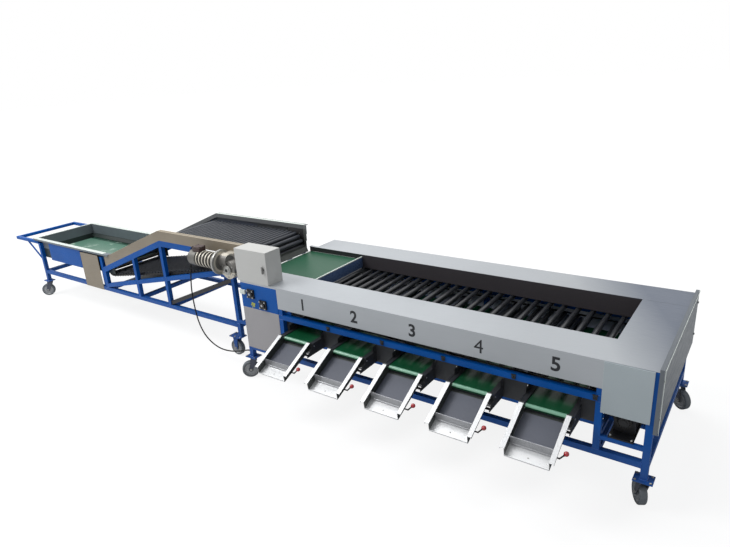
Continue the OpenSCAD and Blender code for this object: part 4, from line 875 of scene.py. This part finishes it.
bm = bmesh.new()
for y in (2, 1242):
    for x in (0, 2470):
        for z in (310, 630, 670):
            post_welds(bm, x, y, z)
    for x, inner in ((-405, -365), (2743, 2743)):
        post_welds(bm, x, y, FOOT_TOP)
        for z in (270, 310, 858):
            bead(bm, (inner, y, z), (inner, y + TUBE, z))
        for v in (y, y + TUBE):
            for z in (270, 858):
                bead(bm, (inner, v, z), (inner, v, z + TUBE))
for z in (310, 630):
    post_welds(bm, 1218, 1242, z)
for y in (225, 977):
    for x in (BIN_POST_X, -2880, -2286, -1782, -783):
        post_welds(bm, x, y, 335)
    for x in (BIN_POST_X, -783):
        post_welds(bm, x, y, FOOT_TOP)
    for x in (BIN_POST_X + TUBE, -783):
        bead(bm, (x, y, 295), (x, y, 335))
    for x in (-2286, -1782):
        for edge in (x, x + TUBE):
            z = 340 + BRACE_SLOPE * (edge + 2840)
            bead(bm, (edge, y, z), (edge, y, z + 44))
for y in (245, 997):
    for z in (GRIP_LOW, GRIP_HIGH):
        bead(bm, (BIN_POST_X, y - 18, z), (BIN_POST_X, y + 18, z))
    for v in (y - 18, y + 18):
        bead(bm, (BIN_POST_X, v, GRIP_LOW), (BIN_POST_X, v, GRIP_HIGH))
piece("frame_welds", bm, weld)

# %% [markdown]
# The elevator is driven by a ribbed motor on a worm gear case. On the real one the flange's rim is worn
# bright, the terminal box is a separate dark casting, the hollow hub shows round the shaft's end, and a wire
# grille covers the fan.

# %% gearmotor details
bm = bmesh.new()
box(bm, (-1062, 74, 1040), (-968, 150, 1082), 4)
box(bm, (-1064, 72, 1083), (-966, 152, 1089), 2)
for x in (-1055, -975):
    for y in (80, 144):
        bolt(bm, (x, y, 1089), (0, 0, 1), 4, 3)
piece("terminal_box", bm, brown_box)

bm = bmesh.new()
spun(bm, [(110.4, 0), (111, 1), (111, 19), (110.4, 20.4), (104, 20.8), (90, 20.6)], 64)
placed(bm, quarter((-752, MOTOR_Y, MOTOR_Z), "Y"))
piece("flange_rim", bm, bolt_steel)

bm = bmesh.new()
spun(bm, [(15.6, 0.3), (15.6, 12), (17, 13), (30, 13), (33, 11), (34, 6), (43, 4), (44.4, 0.3)], 48)
placed(bm, quarter((HEAD_X, 80, HEAD_Z), "X"))
piece("gear_case_hub", bm, bolt_steel)

WIRE, SPOKE = 3, (20, 64.8)
bm = bmesh.new()
for k in range(12):
    a = math.radians(30 * k)
    start, end = [(-1108, MOTOR_Y + r * math.cos(a), MOTOR_Z + r * math.sin(a)) for r in SPOKE]
    rod(bm, start, end, 2.2, segments=8)
turned = quarter((-1109.5, MOTOR_Y, MOTOR_Z), "Y")
for r in (22, 42, 62):
    ring = bmesh.ops.create_circle(bm, segments=40, radius=r / 1000)
    edges = list({e for v in ring["verts"] for e in v.link_edges})
    tips = verts_of(bmesh.ops.extrude_edge_only(bm, edges=edges))
    bmesh.ops.scale(bm, verts=tips, vec=(1 + WIRE / r, 1 + WIRE / r, 1))
    bmesh.ops.transform(bm, verts=list(ring["verts"]) + tips, matrix=turned)
piece("fan_grille", bm, cast_black)

# %% [markdown]
# The infeed belt runs up to a blue cross plate with a bright folded rim, and its nose shows as a pale line, a
# painted highlight. The plate is a thin skin on the frame's own plate, in a lighter blue that is a painted
# reflection of the sky, so that this blue ends cleanly at the rim.

# %% infeed plate and belt edges
boxes("cross_plate", [((130.3, 312, 781), (131.3, 1010, 879), 0.3)], blue_painted_reflection)
boxes("cross_plate_rim", [
    ((121, 312, 879.2), (132.5, 1010, 882.2), 0.8),
    ((131.6, 312, 874), (132.6, 1010, 879), 0.3),
], pale_and_painted_highlight)
# Pale strips run along the belt's two edges, and the strip across its nose is a painted highlight.
bm = bmesh.new()
for y in (317.5, 1002.5):
    box(bm, (-470, y - 1.5, 855.05), (86, y + 1.5, 855.6))
box(bm, (-484, 317, 854.6), (-474, 1004, 855.8), 0.4)
piece("infeed_belt_edges_and_nose_highlight", bm, pale_and_painted_highlight)

# %% [markdown]
# Each outlet belt turns round a thin nose, which catches the light as a pale line. The line is a strip that
# is spun about a quarter of a turn round the nose roller, just proud of the belt.

# %% outlet belt noses
NOSE_Y, NOSE_Z, NOSE_R = -84, 528.7, 16.9
top = math.radians(75)
bm = bmesh.new()
for x in OUTLETS:
    ends = [(x + u, NOSE_Y + NOSE_R * math.cos(top), NOSE_Z + NOSE_R * math.sin(top)) for u in (-126, 126)]
    arc(bm, ends, (x, NOSE_Y, NOSE_Z), (1, 0, 0), 95, 12)
piece("belt_nose_lines", bm, pale_green)

# %% [markdown]
# The elevator's guards are folded sheets. Their upper folds carry painted highlights, cream on the near side
# and white on the far side, where a dark outer edge ends the fold. At the far side the ends of the chain pins
# show as a row of pale dots.

# %% guard edges and chain pins
LEAN = math.radians(21.75)
SLOPE = math.tan(LEAN)
PEAK_X, GUARD_TOP = -1755, 1116
STRIP_LIFT, STRIP_SHEET = 0.1, 0.0012
GUARD_LINE = [(-2808, GUARD_TOP - SLOPE * (PEAK_X + 2808)), (PEAK_X, GUARD_TOP), (-522, GUARD_TOP)]


def strip(bm, y0, y1):
    """A thin strip that lies along the guards' top edge."""
    for a, b in zip(GUARD_LINE, GUARD_LINE[1:]):
        corners = ((a, y0), (b, y0), (b, y1), (a, y1))
        face = bm.faces.new([bm.verts.new(at(x, y, z + STRIP_LIFT)) for (x, z), y in corners])
        up = bmesh.ops.extrude_face_region(bm, geom=[face])
        bmesh.ops.translate(bm, verts=verts_of(up), vec=(0, 0, STRIP_SHEET))


# The cream and white strips are painted highlights on the guards' top folds; the dark strip lies along the
# far guard's outer edge.
for name, material, slot, edges in (
        ("guard_edge_near", cream_painted_highlight, "beige_paint", ((224.4, 229), (260, 265.6))),
        ("guard_edge_far", pale_and_painted_highlight, "beige_paint", ((976.4, 1010.5),)),
        ("guard_outer_edge", bed_dark, "dark_paint", ((1010.5, 1017.5),))):
    bm = bmesh.new()
    for near, far in edges:
        strip(bm, near, far)
    piece(name, bm, material)

PIN_STEP, PIN_Z = 50.46, 1031
bm = bmesh.new()
pins = [(-1740 + k * PIN_STEP, PIN_Z) for k in range(24)]
for x in [-1790 - k * PIN_STEP * math.cos(LEAN) for k in range(20)]:
    pins.append((x, PIN_Z - SLOPE * (PEAK_X - x)))
for x, z in pins:
    rod(bm, (x, 970.4, z), (x, 972.4, z), 5.2, segments=10)
piece("chain_pin_ends", bm, bolt_steel)

# %% [markdown]
# The bin's folded rims are pale on top. The covers meet in a seam at the drive end, and the end plate and
# the end panel have painted highlights along their edges. A narrow blue strip closes the joint at the skirt's
# left end.

# %% bin rims and cover seams
boxes("bin_rims", [
    ((-4278, 214, 738.1), (-2812, 266, 738.9), 0.3),
    ((-4278, 976, 738.1), (-2812, 1028, 738.9), 0.3),
    ((-4310, 214, 738.1), (-4279, 1028, 738.9), 0.3),
], pale_and_painted_highlight)
boxes("cover_seam", [((2509, 1003.6, 900.05), (2788, 1005.6, 900.35))], end_shade_and_seam_steel)
# Painted highlights: pale strips along the end plate's top and front edges and along the end panel's left
# edge.
boxes("end_plate_painted_highlight", [
    ((2809.6, -1.6, 917), (2812.3, 1299.6, 918.4), 0.3),
    ((2809.6, -2.4, 514), (2812.3, -0.8, 917), 0.3),
], pale_and_painted_highlight)
boxes("end_panel_painted_highlight", [((2500, -1, 572), (2502.4, 0.2, 897), 0.3)], pale_and_painted_highlight)
boxes("panel_joint_strip", [((-6, 2.4, 312), (3, 4.4, 896), 0.3)], blue)

# %% [markdown]
# The push handle is square tube with two thin braces, and a second short post stands beside the beige plate
# on each side. The frame's handle is round tube, so this one stands for it.

# %% push handle and second posts
GRIP_X = -4744
bm = bmesh.new()
for y in (245, 997):
    box(bm, (GRIP_X, y - 18, GRIP_LOW), (BIN_POST_X, y + 18, GRIP_HIGH), 2)
    rod(bm, (-4540, y, 690), (-4219, y, 446), 10)
box(bm, (GRIP_X - 36, 227, GRIP_LOW), (GRIP_X, 1015, GRIP_HIGH), 2)
handle = piece("square_handle", bm, blue)
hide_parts("push_handle")
boxes("second_posts", [
    ((-2937, 237, 335), (-2890, 265, 684), 1),
    ((-2937, 977, 335), (-2890, 1005, 684), 1),
], blue)

# %% [markdown]
# The elevator's bed is a sloping tray, two cheeks round the head shaft, a brace and a folded slide from the
# last rollers down to the infeed belt. The slide starts low enough to leave the head rollers in view, so this
# bed stands for the frame's. Inside the head a dark shield runs under the rollers: an arc spun about the head
# shaft, between the two sprockets, with a flat sheet behind it.

# %% elevator bed and shield
bm = bmesh.new()
prism(bm, [(-2811, 348.7), (-900, 790.1), (-900, 792.1), (-2811, 350.7)], 265, 977)
prism(bm, [(-1742, 335), (-783, 740), (-783, 768), (-813, 768), (-1742, 377)], 233, 257)
for y in (265, 975):
    box(bm, (-730, y, 872), (-502, y + 2, 1077), 0.3)
FOLD = [(-510, 929), (-506, 905), (-486, 859), (-483.2, 860.2), (-503.1, 906), (-507, 929.5)]
prism(bm, FOLD, 316, 972)
prism(bm, [FOLD[0], FOLD[1], FOLD[4], FOLD[5]], 267.2, 974.8)
bed = piece("elevator_tray", bm, deck_black)
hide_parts("elevator_bed")
SHIELD_R, SHIELD_Y, SHIELD_SHEET = 82, (294, 948), 0.0015
low = math.radians(-50)
ends = [(HEAD_X + SHIELD_R * math.cos(low), y, HEAD_Z + SHIELD_R * math.sin(low)) for y in SHIELD_Y]
bm = bmesh.new()
arc(bm, ends, (HEAD_X, 621, HEAD_Z), (0, -1, 0), 140, 24)
bmesh.ops.solidify(bm, geom=bm.faces[:], thickness=SHIELD_SHEET)
box(bm, (-1500, SHIELD_Y[0], 1005.6), (HEAD_X, SHIELD_Y[1], 1007), 0.3)
piece("elevator_shield", bm, cast_black)

# %% [markdown]
# Flat sheets close the space between the outlet conveyors, level with the raised edges of their side plates,
# so that nothing drops between them. Aprons close the ends under the belts' noses, the far guard ends in a
# folded lip, and the door's latch has a flat handle.

# %% dividers, aprons, guard lip and latch handle
BED_HALF, BED_BACK, DIVIDER_Z = 163, 1200, 593
bm = bmesh.new()
EDGES = [-360, *[x + side for x in OUTLETS for side in (-BED_HALF, BED_HALF)], 2470]
for left, end in zip(EDGES[::2], EDGES[1::2]):
    box(bm, (left, 46, DIVIDER_Z), (end, BED_BACK, DIVIDER_Z + 2))
piece("bed_dividers", bm, divider_sheet)
bm = bmesh.new()
for x in OUTLETS:
    for side in (-BED_HALF, BED_HALF - 2):
        box(bm, (x + side, 6, 553), (x + side + 2, BED_BACK, DIVIDER_Z))
piece("bed_side_plates", bm, bed_dark)
bm = bmesh.new()
for x in OUTLETS:
    box(bm, (x - 161, -90.5, 466), (x + 161, -89, 512.5))
    for side in (-161, 129):
        box(bm, (x + side, -99, 466), (x + side + 32, -97.5, 546))
piece("nose_aprons", bm, bed_dark)
boxes("guard_end_fold", [
    ((-522, 976, 962), (-494, 978, GUARD_TOP), 0.4),
    ((-522, 978, GUARD_TOP - 2), (-494, 1017, GUARD_TOP), 0.4),
], beige)
boxes("latch_handle", [((-123.2, -15, 1001), (-108.8, -5.8, 1061), 2)], latch_grey, "door_latch")

# %% [markdown]
# Right of each outlet a black clamp sits on the middle rail. It is two small blocks with a bolt.

# %% rail clamps
bm = bmesh.new()
for x in OUTLETS:
    box(bm, (x + 233, -6, 664), (x + 265, 2, 672), 1)
    box(bm, (x + 236, -5, 638), (x + 262, 1.6, 666), 1.5)
    bolt(bm, (x + 249, -5, 651), (0, -1, 0), 6, 5)
piece("rail_clamps", bm, cast_black)

# %% [markdown]
# One rivet sits in the middle of each chute's front pan.

# %% chute rivets
bm = bmesh.new()
for x in OUTLETS:
    ball(bm, (x, -372, 382.6), 5, 12, 6, (1, 1, 0.5))
piece("chute_rivets", bm, bolt_steel)

# %% [markdown]
# On the blue panel, beside the bearings, are an old splash of yellow-green grease and a small white block.
# The splash is seven flattened balls.

# %% small marks by the bearings
boxes("white_block", [((-404, -20, 790), (-346, 0, 826), 3)], pale_and_painted_highlight)
bm = bmesh.new()
for x, z, r, flat in ((-286, 716, 13, 0.7), (-272, 706, 11, 0.9), (-296, 702, 8, 1.2), (-280, 692, 9, 0.6),
                      (-262, 716, 6, 1.1), (-268, 690, 5, 1.6), (-290, 680, 5, 1.4)):
    ball(bm, (x, -0.4, z), r, 20, 10, (1, 0.1, flat))
piece("grease_splash", bm, grease)
